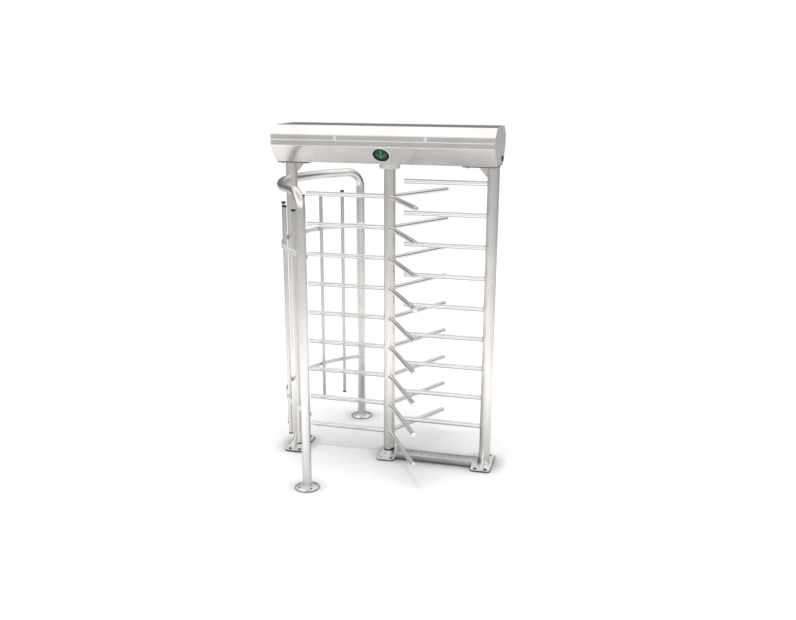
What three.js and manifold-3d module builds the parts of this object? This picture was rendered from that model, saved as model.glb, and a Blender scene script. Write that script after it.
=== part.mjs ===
import * as THREE from 'three';
import { mergeVertices } from 'three/addons/utils/BufferGeometryUtils.js';
import Module from 'manifold-3d';

// Full height turnstile in stainless steel: a rotor with nine tiers of three arms turns between
// a fixed comb on the right and a round cage on the left, under a long head with the mechanism.
// Millimetres, +Z up. The origin is on the floor on the rotor's axis, -Y is the front.

const wasm = await Module();
wasm.setup();

// Whole object
const overallHeight = 2300;
const headHeight = 236;
const postSpacing = 1366;
const headOverhang = 37;
const fitGap = 0.3;
const runningGap = 1;
const overrun = 6;

// Rotor
const wingCount = 3;
const tierCount = 9;
const lowestArmHeight = 174;
const topArmDrop = 226;
const rotorClearance = 64;
const armDiameter = 32;
const armWall = 2;
const armEndWall = 4;
const columnDiameter = 76;
const columnWall = 3;
const columnPlugThickness = 25;
const spiderClearance = 8;
const spiderHubMargin = 4;
const shaftDiameter = 40;
const shaftRise = 86;
const armSides = 12;
const smallSides = 8;
const ringSides = 24;
const discSides = 48;

// Posts, feet and floor rail
const postDiameter = 76;
const postWall = 3;
const plateThickness = 10;
const footWidth = 134;
const footDepth = 290;
const footShift = 12;
const footCorner = 24;
const footGussetReach = 102;
const footGussetHeight = 112;
const gussetThickness = 9;
const headPlateWidth = 215;
const headPlateDepth = 310;
const headPlateThickness = 8;
const headGussetReach = 62;
const headGussetHeight = 72;
const boltHeadDiameter = 19;
const boltHeadHeight = 8;
const footBoltInsetX = 32;
const footBoltInsetY = 25;
const railWidth = 90;
const railHeight = 44;
const railShift = 34;
const railWall = 3;
const baseWidth = 120;
const baseDepth = 256;
const baseThickness = 8;
const baseCorner = 24;
const baseBoltInsetX = 23;
const baseBoltInsetY = 33;
const pedestalDiameter = 76;
const pedestalHeight = 42;
const pedestalGap = 5;
const pivotDiameter = 40;
const bushLength = 37;

// Comb of fixed arms
const combClearance = 60;

// Cage
const hoopDiameter = 60;
const hoopWall = 2.5;
const hoopDrop = 136;
const hoopBendRadius = 115;
const hoopRailCover = 14;
const hoopLegAngle = THREE.MathUtils.degToRad(58.7);
const hoopQuarterSteps = 7;
const hoopBendSteps = 5;
const hoopRailSteps = 7;
const flangeDiameter = 158;
const flangeEdge = 4;
const flangeDome = 15;
const bandHeight = 30;
const bandThickness = 6;
const lowerBandRise = 267;
const upperBandDrop = 267;
const bandEndReach = 26;
const bandStepsPerBar = 4;
const bandBoltDiameter = 12;
const bandBoltHeight = 5;
const barDiameter = 25;
const barWall = 1.5;
const barFoot = 239;
const barDrop = 124;
const barInset = 20.5;
const barPitch = THREE.MathUtils.degToRad(15.3);
const barsPerSide = 3;
const barSides = 12;

// Head: tray, end caps and roof lid
const sheet = 3;
const trayBottomHalf = 172;
const lipHalf = 266;
const lipFootRise = 112;
const lidSplitRise = 143;
const lipTopRise = 182;
const roofFlatHalf = 170;
const shaftHoleClearance = 3;
const indicatorDiameter = 96;
const bezelWidth = 11;
const bezelHeight = 5;
const bezelSleeve = 3;
const lensDome = 3;
const lensDepth = 14;
const lensTopShare = 0.6;
const indicatorRiseShare = 0.57;
const hingeDiameter = 12;
const hingePinDiameter = 6;
const hingeInset = 320;
const hingeKnuckle = 26;
const hingeLeafDepth = 24;
const hingeLeafThickness = 2;
const lockDiameter = 36;
const lockBarrelDiameter = 22;
const lockFace = 4;
const lockDepth = 34;
const lockSide = 91;
const lockRise = 32;
const lockCamReach = 40;
const lockCamWidth = 14;
const lockCamThickness = 3;

// Mechanism in the head
const housingWall = 37.5;
const housingHeight = 42.7;
const bearingWidth = 11;
const bearingHeight = 30;
const bearingLip = 5;
const bearingShoulder = 4;
const lockDiscDiameter = 150;
const lockDiscThickness = 10;
const lockDiscClearance = 9;
const lockNotchWidth = 42;
const lockNotchDepth = 12;
const stopsPerWing = 2;
const discHubWall = 5;
const gearThickness = 12;
const gearClearance = 10;
const gearTeeth = 36;
const pinionTeeth = 12;
const toothHeightShare = 1.6;
const toothBaseShare = 0.56;
const toothTipShare = 0.24;
const pinionShaftDiameter = 16;
const damperDiameter = 70;
const damperClearance = 10;
const damperHeight = 26;
const damperSocketDepth = 20;
const pawlPivotReach = 29;
const pawlPivotSide = 70;
const pawlPinDiameter = 10;
const pawlEyeDiameter = 24;
const pawlTipReach = 6;
const pawlTipSide = 6;
const pawlTipWidth = 8;
const pawlThickness = 10;
const bracketSize = [72, 200, 4];
const bracketOffset = 22;
const magnetDiameter = 30;
const magnetLength = 30;
const magnetOffset = 36;
const magnetSide = 32;
const magnetFoot = 14;
const controlBoxSize = [190, 220, 74];
const controlBoxInset = 290;
const supplyBoxSize = [150, 110, 62];
const supplyBoxInset = 300;

// Values that follow from the sizes above
const postHalf = postSpacing / 2;
const headLength = postSpacing + 2 * headOverhang;
const trayBottomHeight = overallHeight - headHeight;
const trayFloor = trayBottomHeight + sheet;
const lipFoot = trayBottomHeight + lipFootRise;
const lidSplitHeight = trayBottomHeight + lidSplitRise;
const lipTop = trayBottomHeight + lipTopRise;
const postRadius = postDiameter / 2;
const columnRadius = columnDiameter / 2;
const armRadius = armDiameter / 2;
const hoopRadius = hoopDiameter / 2;
const barRadius = barDiameter / 2;
const shaftRadius = shaftDiameter / 2;
const rotorReach = postHalf - postRadius - rotorClearance;
const topArmHeight = trayBottomHeight - topArmDrop;
const tierPitch = (topArmHeight - lowestArmHeight) / (tierCount - 1);
const bearingHousingFoot = trayBottomHeight - fitGap - housingHeight;
const columnFootHeight = pedestalHeight + pedestalGap;
const columnTopHeight = bearingHousingFoot - runningGap;
const pivotHeight = columnFootHeight + bushLength;
const headPlateFoot = trayBottomHeight - fitGap - headPlateThickness;
const barCircle = postHalf + postRadius - barInset;
const bandInner = barCircle + barRadius + fitGap;
const hoopLegRadius = bandInner + bandThickness + fitGap + hoopRadius;
const hoopLeg = {
  x: -hoopLegRadius * Math.cos(hoopLegAngle),
  y: hoopLegRadius * Math.sin(hoopLegAngle),
};
const hoopRailRadius = postHalf + postRadius + hoopRailCover - hoopRadius;
const hoopRailHeight = trayBottomHeight - hoopDrop;
const barTop = hoopRailHeight - barDrop;
const bandHeights = [barFoot + lowerBandRise, barTop - upperBandDrop];
const capInnerFace = headLength / 2 - sheet;
const bearingRadius = shaftRadius + bearingWidth;
const discHubRadius = shaftRadius + discHubWall;
const lockDiscRadius = lockDiscDiameter / 2;
const lockDiscHeight = trayFloor + lockDiscClearance;
const gearHeight = lockDiscHeight + lockDiscThickness + gearClearance;
const pinionPlace = lockDiscRadius + damperDiameter / 2 + damperClearance;
const gearModule = 2 * pinionPlace / (gearTeeth + pinionTeeth);
const toothHeight = gearModule * toothHeightShare;
const pawlPivotX = -lockDiscRadius - pawlPivotReach;
const pawlTipX = -lockDiscRadius - pawlTipReach;

// Materials
function steel(color, roughness) {
  return new THREE.MeshStandardMaterial({ color, roughness, metalness: 0.9 });
}
const satinSteel = steel(0xd6d3cf, 0.32);
const brightSteel = steel(0xe4e4e2, 0.2);
const sheetSteel = steel(0xd9d5d0, 0.38);
const machinedSteel = steel(0xa9abad, 0.4);
const blackPlastic = new THREE.MeshStandardMaterial({ color: 0x151515, roughness: 0.5, metalness: 0 });
const greenGlass = new THREE.MeshStandardMaterial({ color: 0x0d3d1c, roughness: 0.12, metalness: 0 });
const greyEnamel = new THREE.MeshStandardMaterial({ color: 0x8a8f92, roughness: 0.5, metalness: 0.1 });
const greyCase = new THREE.MeshStandardMaterial({ color: 0x949a9c, roughness: 0.6, metalness: 0 });

const turnstile = new THREE.Group();

// Adds one named piece to the object, or to a group of it
function addPiece(name, geometry, material, parent = turnstile) {
  const piece = new THREE.Mesh(geometry, material);
  piece.name = name;
  parent.add(piece);
  return piece;
}

// Turns a closed geometry into a solid that can be joined and cut
function solidOf(geometry) {
  const bare = geometry.clone();
  bare.deleteAttribute('normal');
  bare.deleteAttribute('uv');
  const merged = mergeVertices(bare);
  return new wasm.Manifold(new wasm.Mesh({
    numProp: 3,
    vertProperties: new Float32Array(merged.attributes.position.array),
    triVerts: new Uint32Array(merged.index.array),
  }));
}

// Gives a solid's surface back as a geometry
function geometryOf(solid) {
  const surface = solid.getMesh();
  const geometry = new THREE.BufferGeometry();
  geometry.setAttribute('position', new THREE.BufferAttribute(surface.vertProperties, 3));
  geometry.setIndex(new THREE.BufferAttribute(surface.triVerts, 1));
  geometry.computeVertexNormals();
  return geometry;
}

function joined(...geometries) {
  return geometries.map(solidOf).reduce((whole, next) => whole.add(next));
}

function cut(body, ...tools) {
  return tools.map(solidOf).reduce((whole, next) => whole.subtract(next), body);
}

// Upright cylinder from one height to another
function rod(radius, low, high, sides = ringSides) {
  const geometry = new THREE.CylinderGeometry(radius, radius, high - low, sides);
  geometry.rotateX(Math.PI / 2);
  geometry.translate(0, 0, (low + high) / 2);
  return geometry;
}

// Cylinder along X from one place to another
function rodAlongX(radius, from, to, sides = armSides) {
  const geometry = rod(radius, from, to, sides);
  geometry.rotateY(Math.PI / 2);
  return geometry;
}

// Ring turned round the Z axis from a closed list of [radius, height] points
function turned(profile, sides = ringSides) {
  const points = [...profile, profile[0]].map(([radius, height]) => new THREE.Vector2(radius, height));
  const geometry = new THREE.LatheGeometry(points, sides);
  geometry.rotateX(Math.PI / 2);
  return geometry;
}

// Plain pipe with open ends
function pipe(outer, inner, low, high, sides = ringSides) {
  return turned([[inner, low], [outer, low], [outer, high], [inner, high]], sides);
}

function block([width, depth, height], [x, y, foot]) {
  const geometry = new THREE.BoxGeometry(width, depth, height);
  geometry.translate(x, y, foot + height / 2);
  return geometry;
}

// Flat plate with round corners, lying on a given height
function roundedPlate(width, depth, corner, foot, thickness) {
  const shape = new THREE.Shape();
  const x = width / 2 - corner;
  const y = depth / 2 - corner;
  shape.absarc(x, y, corner, 0, Math.PI / 2);
  shape.absarc(-x, y, corner, Math.PI / 2, Math.PI);
  shape.absarc(-x, -y, corner, Math.PI, Math.PI * 1.5);
  shape.absarc(x, -y, corner, Math.PI * 1.5, Math.PI * 2);
  const geometry = new THREE.ExtrudeGeometry(shape, { depth: thickness, bevelEnabled: false, curveSegments: 4 });
  geometry.translate(0, 0, foot);
  return geometry;
}

// Extrudes an outline of [y, z] points along X, centred on X = 0
function extrudedAlongX(outline, length, holes = []) {
  const shape = new THREE.Shape(outline.map(([y, z]) => new THREE.Vector2(y, z)));
  shape.holes.push(...holes);
  const geometry = new THREE.ExtrudeGeometry(shape, { depth: length, bevelEnabled: false, curveSegments: 8 });
  const turn = new THREE.Matrix4().makeBasis(
    new THREE.Vector3(0, 1, 0), new THREE.Vector3(0, 0, 1), new THREE.Vector3(1, 0, 0));
  geometry.applyMatrix4(turn);
  geometry.translate(-length / 2, 0, 0);
  return geometry;
}

// Extrudes an outline of [x, z] points along Y, centred on Y = 0
function extrudedAlongY(outline, depth) {
  const shape = new THREE.Shape(outline.map(([x, z]) => new THREE.Vector2(x, z)));
  const geometry = new THREE.ExtrudeGeometry(shape, { depth, bevelEnabled: false });
  const turn = new THREE.Matrix4().makeBasis(
    new THREE.Vector3(1, 0, 0), new THREE.Vector3(0, 0, 1), new THREE.Vector3(0, -1, 0));
  geometry.applyMatrix4(turn);
  geometry.translate(0, depth / 2, 0);
  return geometry;
}

// Extrudes an outline of [x, y] points upwards
function extrudedUp(outline, foot, height) {
  const shape = new THREE.Shape(outline.map(([x, y]) => new THREE.Vector2(x, y)));
  const geometry = new THREE.ExtrudeGeometry(shape, { depth: height, bevelEnabled: false });
  geometry.translate(0, 0, foot);
  return geometry;
}

// Closed outline of a folded sheet: the fold line and the same line moved to its left by the thickness
function foldedOutline(line, thickness) {
  const inner = line.map((point, i) => {
    const before = line[Math.max(i - 1, 0)];
    const after = line[Math.min(i + 1, line.length - 1)];
    const sides = [];
    if (i > 0) sides.push(leftNormal(before, point));
    if (i < line.length - 1) sides.push(leftNormal(point, after));
    const sum = sides.reduce((total, side) => [total[0] + side[0], total[1] + side[1]], [0, 0]);
    const reach = thickness * sides.length / (sum[0] * sum[0] + sum[1] * sum[1]);
    return [point[0] + sum[0] * reach, point[1] + sum[1] * reach];
  });
  return [...line, ...inner.reverse()];
}

function leftNormal(from, to) {
  const length = Math.hypot(to[0] - from[0], to[1] - from[1]);
  return [-(to[1] - from[1]) / length, (to[0] - from[0]) / length];
}

// Rotor: the column with its shaft, and the arms of each tier
const wingAngles = Array.from({ length: wingCount }, (_, i) => Math.PI + i * 2 * Math.PI / wingCount);
const armHeights = Array.from({ length: tierCount }, (_, i) => lowestArmHeight + i * tierPitch);

function wingRod(radius, from, to, angle, height) {
  const geometry = rodAlongX(radius, from, to);
  geometry.rotateZ(angle);
  geometry.translate(0, 0, height);
  return geometry;
}

function rotorColumn() {
  const innerRadius = columnRadius - columnWall;
  const plugFoot = columnTopHeight - columnPlugThickness;
  const shell = joined(
    pipe(columnRadius, innerRadius, columnFootHeight, columnTopHeight),
    rod(columnRadius - columnWall / 2, plugFoot, columnTopHeight - fitGap),
    rod(shaftRadius, plugFoot, trayBottomHeight + shaftRise),
  );
  const holes = armHeights.flatMap((height) => wingAngles.map(
    (angle) => wingRod(armRadius + fitGap, innerRadius - overrun, columnRadius + overrun, angle, height)));
  return geometryOf(cut(shell, ...holes));
}

function rotorTier(height) {
  const low = height - armRadius - spiderHubMargin;
  const high = height + armRadius + spiderHubMargin;
  const hubRadius = columnRadius - columnWall - spiderClearance;
  const boreRadius = armRadius - armWall;
  const body = joined(
    rod(hubRadius, low, high, armSides),
    ...wingAngles.map((angle) => wingRod(armRadius, 0, rotorReach, angle, height)),
  );
  const bores = wingAngles.map((angle) => wingRod(boreRadius, 0, rotorReach - armEndWall, angle, height));
  const drain = rod(boreRadius / 2, low - overrun, high + overrun, smallSides);
  return geometryOf(cut(body, ...bores, drain));
}

addPiece('rotor_column', rotorColumn(), satinSteel);
armHeights.forEach((height, i) => addPiece(`rotor_arms_tier_${i + 1}`, rotorTier(height), brightSteel));

// Bush in the column's lower end and the floor plate with the pivot that it turns on
function bottomBearing() {
  const outer = columnRadius - columnWall - fitGap;
  return pipe(outer, pivotDiameter / 2 + fitGap, columnFootHeight, pivotHeight);
}

function boltHeads(spacingX, spacingY, foot) {
  const places = [[-1, -1], [1, -1], [-1, 1], [1, 1]];
  return places.map(([x, y]) => {
    const head = rod(boltHeadDiameter / 2, foot - boltHeadHeight / 2, foot + boltHeadHeight, 6);
    head.translate(x * spacingX / 2, y * spacingY / 2, 0);
    return head;
  });
}

function rotorBase() {
  return geometryOf(joined(
    roundedPlate(baseWidth, baseDepth, baseCorner, 0, baseThickness),
    rod(pedestalDiameter / 2, baseThickness / 2, pedestalHeight),
    rod(pivotDiameter / 2, baseThickness / 2, pivotHeight - fitGap),
    ...boltHeads(baseWidth - 2 * baseBoltInsetX, baseDepth - 2 * baseBoltInsetY, baseThickness),
  ));
}

addPiece('bottom_bearing', bottomBearing(), machinedSteel);
addPiece('rotor_base', rotorBase(), satinSteel);

// The two posts that carry the head: side is -1 on the left and 1 on the right
function post(side) {
  const centre = side * postHalf;
  const tube = pipe(postRadius, postRadius - postWall, plateThickness + fitGap, headPlateFoot + headPlateThickness / 2);
  tube.translate(centre, 0, 0);
  const plateCentre = side * (headLength / 2 - headPlateWidth / 2);
  const plate = block([headPlateWidth, headPlateDepth, headPlateThickness], [plateCentre, 0, headPlateFoot]);
  const root = side * (postHalf - postRadius + postWall);
  const edge = side * (postHalf - postRadius);
  const top = headPlateFoot + headPlateThickness / 2;
  const gusset = extrudedAlongY([
    [root, headPlateFoot - headGussetHeight],
    [edge, headPlateFoot - headGussetHeight],
    [edge - side * headGussetReach, headPlateFoot],
    [edge - side * headGussetReach, top],
    [root, top],
  ], gussetThickness);
  return geometryOf(joined(tube, plate, gusset));
}

// Foot plate with its bolts and the two upright ribs that stiffen the post
function foot(side) {
  const plate = roundedPlate(footWidth, footDepth, footCorner, 0, plateThickness);
  const ribs = [-1, 1].map((face) => {
    const near = postRadius + fitGap;
    const far = postRadius + footGussetReach;
    const rib = extrudedAlongY([
      [near, plateThickness / 2],
      [far, plateThickness / 2],
      [far, plateThickness + gussetThickness],
      [near + gussetThickness, footGussetHeight],
      [near, footGussetHeight],
    ], gussetThickness);
    rib.rotateZ(face * Math.PI / 2);
    return rib;
  });
  const bolts = boltHeads(footWidth - 2 * footBoltInsetX, footDepth - 2 * footBoltInsetY, plateThickness);
  [plate, ...bolts].forEach((piece) => piece.translate(-side * footShift, 0, 0));
  const whole = joined(plate, ...ribs, ...bolts);
  return geometryOf(whole.translate([side * postHalf, 0, 0]));
}

addPiece('left_post', post(-1), satinSteel);
addPiece('right_post', post(1), satinSteel);
addPiece('left_foot', foot(-1), brightSteel);
addPiece('right_foot', foot(1), brightSteel);

// Rectangular tube on the floor from the rotor's base to the right post. Where it passes over the
// foot plate its walls end above the plate, and the front wall stops at the plate's edge
function floorRail() {
  const start = baseWidth / 2 + fitGap;
  const end = postHalf - postRadius - fitGap;
  const plateEdge = postHalf - footShift - footWidth / 2 - fitGap;
  const half = railWidth / 2;
  const hole = new THREE.Path();
  hole.moveTo(-half + railWall, railWall);
  hole.lineTo(half - railWall, railWall);
  hole.lineTo(half - railWall, railHeight - railWall);
  hole.lineTo(-half + railWall, railHeight - railWall);
  hole.closePath();
  const outline = [[-half, 0], [half, 0], [half, railHeight], [-half, railHeight]];
  const tube = extrudedAlongX(outline, end - start, [hole]);
  tube.translate((start + end) / 2, -railShift, 0);
  const reach = end + overrun - plateEdge;
  const middle = plateEdge + reach / 2;
  const front = -railShift - half;
  const overPlate = block([reach, railWidth + 2 * overrun, plateThickness + fitGap + overrun], [middle, -railShift, -overrun]);
  const frontWall = block([reach, railWall + overrun, railHeight - railWall + overrun], [middle, front + (railWall - overrun) / 2, -overrun]);
  return geometryOf(cut(solidOf(tube), overPlate, frontWall));
}

addPiece('floor_rail', floorRail(), satinSteel);

// Comb: one fixed arm above each tier of the rotor, coped to the right post
const combHeights = armHeights.map((height) => height + tierPitch / 2);
const combStart = columnRadius + combClearance;

function combArm(height) {
  const body = solidOf(rodAlongX(armRadius, combStart, postHalf));
  const bore = rodAlongX(armRadius - armWall, combStart + armEndWall, postHalf + overrun);
  const postCut = rod(postRadius + fitGap, -postRadius, postRadius);
  postCut.translate(postHalf, 0, 0);
  return geometryOf(cut(body, bore, postCut).translate([0, 0, height]));
}

combHeights.forEach((height, i) => addPiece(`comb_arm_${i + 1}`, combArm(height), brightSteel));

// Cage hoop: a leg at each end, and between them a rail on the rotor's circle, coped to the left post
class RoutePath extends THREE.Curve {
  constructor(route) {
    super();
    this.route = route;
  }

  getPointAt(share) {
    return this.route[Math.round(share * (this.route.length - 1))].clone();
  }

  getTangentAt(share) {
    const i = Math.round(share * (this.route.length - 1));
    const before = this.route[Math.max(i - 1, 0)];
    const after = this.route[Math.min(i + 1, this.route.length - 1)];
    const back = this.route[i].clone().sub(before).normalize();
    const ahead = after.clone().sub(this.route[i]).normalize();
    return back.add(ahead).normalize();
  }

  getSpacedPoints() {
    return this.route.map((point) => point.clone());
  }
}

function hoopRoute() {
  const tangent = Math.atan2(hoopLeg.y, hoopLeg.x) + Math.acos(hoopRailRadius / hoopLegRadius);
  const meet = { x: hoopRailRadius * Math.cos(tangent), y: hoopRailRadius * Math.sin(tangent) };
  const run = Math.hypot(meet.x - hoopLeg.x, meet.y - hoopLeg.y);
  const heading = { x: (meet.x - hoopLeg.x) / run, y: (meet.y - hoopLeg.y) / run };
  const half = [new THREE.Vector3(hoopLeg.x, hoopLeg.y, 0)];
  for (let i = 0; i <= hoopBendSteps; i += 1) {
    const turn = i / hoopBendSteps * Math.PI / 2;
    const out = hoopBendRadius * (1 - Math.cos(turn));
    const up = hoopRailHeight - hoopBendRadius + hoopBendRadius * Math.sin(turn);
    half.push(new THREE.Vector3(hoopLeg.x + heading.x * out, hoopLeg.y + heading.y * out, up));
  }
  for (let i = 0; i < hoopRailSteps; i += 1) {
    const turn = tangent + (Math.PI - tangent) * i / hoopRailSteps;
    half.push(new THREE.Vector3(hoopRailRadius * Math.cos(turn), hoopRailRadius * Math.sin(turn), hoopRailHeight));
  }
  const mirrored = half.map((point) => new THREE.Vector3(point.x, -point.y, point.z)).reverse();
  return [...half, new THREE.Vector3(-hoopRailRadius, 0, hoopRailHeight), ...mirrored];
}

function hoop() {
  const section = new THREE.Shape();
  section.absarc(0, 0, hoopRadius, 0, Math.PI * 2);
  const bore = new THREE.Path();
  bore.absarc(0, 0, hoopRadius - hoopWall, 0, Math.PI * 2, true);
  section.holes.push(bore);
  const route = hoopRoute();
  const tube = new THREE.ExtrudeGeometry(section, {
    steps: route.length - 1,
    curveSegments: hoopQuarterSteps,
    extrudePath: new RoutePath(route),
  });
  const postCut = rod(postRadius + fitGap, hoopRailHeight - hoopDiameter, hoopRailHeight + hoopDiameter);
  postCut.translate(-postHalf, 0, 0);
  return geometryOf(cut(solidOf(tube), postCut));
}

// Domed ring round each leg where it meets the floor
function floorFlange(face) {
  const inner = hoopRadius + fitGap;
  const outer = flangeDiameter / 2;
  const ring = turned([
    [inner, 0],
    [outer, 0],
    [outer, flangeEdge],
    [(inner + outer) / 2, (flangeEdge + flangeDome) / 2 + fitGap],
    [inner + flangeEdge, flangeDome],
    [inner, flangeDome],
  ]);
  ring.translate(hoopLeg.x, face * hoopLeg.y, 0);
  return ring;
}

// Where the bars stand on their circle, counted from the left post to the front and to the back
const barAngles = [];
for (let i = 1; i <= barsPerSide; i += 1) barAngles.push(Math.PI - i * barPitch, Math.PI + i * barPitch);

function cageBar(angle) {
  const bar = pipe(barRadius, barRadius - barWall, barFoot, barTop, barSides);
  bar.translate(barCircle * Math.cos(angle), barCircle * Math.sin(angle), 0);
  return bar;
}

// Flat bar rolled round the outside of the bars and set round the left post, bolted to each bar
function cageBand(height) {
  const outer = bandInner + bandThickness;
  const reach = hoopLegAngle + bandEndReach / bandInner;
  const step = barPitch / bandStepsPerBar;
  const stepsPerSide = Math.floor(reach / step);
  const angles = [Math.PI - reach];
  for (let i = -stepsPerSide; i <= stepsPerSide; i += 1) angles.push(Math.PI + i * step);
  angles.push(Math.PI + reach);
  const arc = (radius) => angles.map((angle) => [radius * Math.cos(angle), radius * Math.sin(angle)]);
  const outline = [...arc(outer), ...arc(bandInner).reverse()];
  const foot = height - bandHeight / 2;
  const band = extrudedUp(outline, foot, bandHeight);
  const inside = extrudedUp([...arc(bandInner), [0, 0]], foot - overrun, bandHeight + 2 * overrun);
  const saddle = rod(postRadius + fitGap + bandThickness, foot, foot + bandHeight);
  const postCut = rod(postRadius + fitGap, foot - overrun, foot + bandHeight + overrun);
  [saddle, postCut].forEach((piece) => piece.translate(-postHalf, 0, 0));
  const bolts = barAngles.map((angle) => {
    const bolt = rodAlongX(bandBoltDiameter / 2, outer - bandThickness / 2, outer + bandBoltHeight, smallSides);
    bolt.rotateZ(angle);
    bolt.translate(0, 0, height);
    return bolt;
  });
  return geometryOf(cut(joined(band, ...bolts).add(cut(solidOf(saddle), inside)), postCut));
}

addPiece('cage_hoop', hoop(), satinSteel);
addPiece('cage_flange_front', floorFlange(-1), brightSteel);
addPiece('cage_flange_back', floorFlange(1), brightSteel);
barAngles.forEach((angle, i) => {
  const side = i % 2 === 0 ? 'back' : 'front';
  addPiece(`cage_bar_${side}_${Math.floor(i / 2) + 1}`, cageBar(angle), satinSteel);
});
bandHeights.forEach((height, i) => addPiece(`cage_band_${i + 1}`, cageBand(height), brightSteel));

// Head: the tray is one sheet folded into the floor and both fascias
const fasciaTilt = Math.atan2(lipFoot - trayBottomHeight, lipHalf - trayBottomHalf);

// Moves a piece drawn on a flat face at the origin, facing +Z, onto the front or back fascia
function ontoFascia(geometry, face) {
  geometry.rotateX(Math.PI - fasciaTilt);
  const y = trayBottomHalf + (lipHalf - trayBottomHalf) * indicatorRiseShare;
  const z = trayBottomHeight + (lipFoot - trayBottomHeight) * indicatorRiseShare;
  geometry.translate(0, -y, z);
  if (face > 0) geometry.rotateZ(Math.PI);
  return geometry;
}

function tray() {
  const rim = lidSplitHeight - fitGap;
  const line = [
    [-lipHalf, rim],
    [-lipHalf, lipFoot],
    [-trayBottomHalf, trayBottomHeight],
    [trayBottomHalf, trayBottomHeight],
    [lipHalf, lipFoot],
    [lipHalf, rim],
  ];
  const body = solidOf(extrudedAlongX(foldedOutline(line, sheet), 2 * (capInnerFace - fitGap)));
  const shaftHole = rod(discHubRadius + shaftHoleClearance, trayBottomHeight - overrun, trayFloor + overrun);
  const windowRadius = indicatorDiameter / 2 + bezelSleeve + 2 * fitGap;
  const windows = [-1, 1].map((face) => ontoFascia(rod(windowRadius, -2 * overrun, overrun), face));
  return geometryOf(cut(body, shaftHole, ...windows));
}

// Steel ring round each indicator, with a sleeve through the fascia
function indicatorBezel(face) {
  const inner = indicatorDiameter / 2 + fitGap;
  const sleeve = indicatorDiameter / 2 + bezelSleeve + fitGap;
  return ontoFascia(turned([
    [inner, -sheet - bezelHeight],
    [sleeve, -sheet - bezelHeight],
    [sleeve, fitGap],
    [indicatorDiameter / 2 + bezelWidth, fitGap],
    [indicatorDiameter / 2 + bezelWidth, bezelHeight / 2],
    [inner + bezelSleeve, bezelHeight],
    [inner, bezelHeight],
  ]), face);
}

// Dark round lens that fills the ring, with a shallow dome in front
function indicatorLens(face) {
  const radius = indicatorDiameter / 2;
  const dome = new THREE.CylinderGeometry(radius * lensTopShare, radius, lensDome, ringSides);
  dome.rotateX(Math.PI / 2);
  dome.translate(0, 0, lensDome / 2);
  const body = rod(radius, lensDome - lensDepth, 0);
  return geometryOf(joined(ontoFascia(dome, face), ontoFascia(body, face)));
}

// End cap: a plate of the head's whole cross section
function endCap(side) {
  const outline = [
    [-trayBottomHalf, trayBottomHeight],
    [trayBottomHalf, trayBottomHeight],
    [lipHalf, lipFoot],
    [lipHalf, lipTop],
    [roofFlatHalf, overallHeight],
    [-roofFlatHalf, overallHeight],
    [-lipHalf, lipTop],
    [-lipHalf, lipFoot],
  ];
  const holes = [];
  if (side > 0) {
    const hole = new THREE.Path();
    const height = trayBottomHeight + lockRise;
    hole.absarc(lockSide, height, lockBarrelDiameter / 2 + fitGap, 0, Math.PI * 2, true);
    holes.push(hole);
  }
  const cap = extrudedAlongX(outline, sheet, holes);
  cap.translate(side * (headLength / 2 - sheet / 2), 0, 0);
  return cap;
}

// Turning barrel of the lock in the right end cap, with its face and the cam behind the cap
function keyLock() {
  const inside = capInnerFace - lockDepth;
  const outside = headLength / 2 + fitGap;
  const cam = block([lockCamThickness, lockCamWidth, lockCamReach], [inside + lockCamThickness / 2, 0, 0]);
  const whole = joined(
    rodAlongX(lockBarrelDiameter / 2, inside, outside + lockFace / 2, ringSides),
    rodAlongX(lockDiameter / 2, outside, outside + lockFace, ringSides),
    cam,
  );
  return geometryOf(whole.translate([0, lockSide, trayBottomHeight + lockRise]));
}

// Roof lid: slopes, flat top and skirts in one folded sheet, with an ear for each hinge pin
const hingeAxis = [lipHalf + hingeDiameter / 2 + fitGap, lidSplitHeight];
const hingePlace = headLength / 2 - hingeInset;

function roofLid() {
  const line = [
    [lipHalf, lidSplitHeight],
    [lipHalf, lipTop],
    [roofFlatHalf, overallHeight],
    [-roofFlatHalf, overallHeight],
    [-lipHalf, lipTop],
    [-lipHalf, lidSplitHeight],
  ];
  const skin = extrudedAlongX(foldedOutline(line, sheet), 2 * (capInnerFace - fitGap));
  const ears = [-1, 1].flatMap((side) => {
    const eye = rodAlongX(hingeDiameter / 2, -hingeKnuckle / 2, hingeKnuckle / 2);
    eye.translate(side * hingePlace, hingeAxis[0], hingeAxis[1]);
    const leaf = block([hingeKnuckle, 2 * hingeLeafThickness, hingeLeafDepth], [side * hingePlace, lipHalf, lidSplitHeight]);
    return [eye, leaf];
  });
  const inside = block([2 * capInnerFace, 2 * (lipHalf - sheet), hingeLeafDepth * 2], [0, 0, lidSplitHeight]);
  const pins = [-1, 1].map((side) => {
    const bore = rodAlongX(hingePinDiameter / 2 + fitGap, -hingeKnuckle, hingeKnuckle);
    bore.translate(side * hingePlace, hingeAxis[0], hingeAxis[1]);
    return bore;
  });
  const earsOnly = cut(joined(...ears), inside, ...pins);
  return geometryOf(solidOf(skin).add(earsOnly));
}

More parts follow.
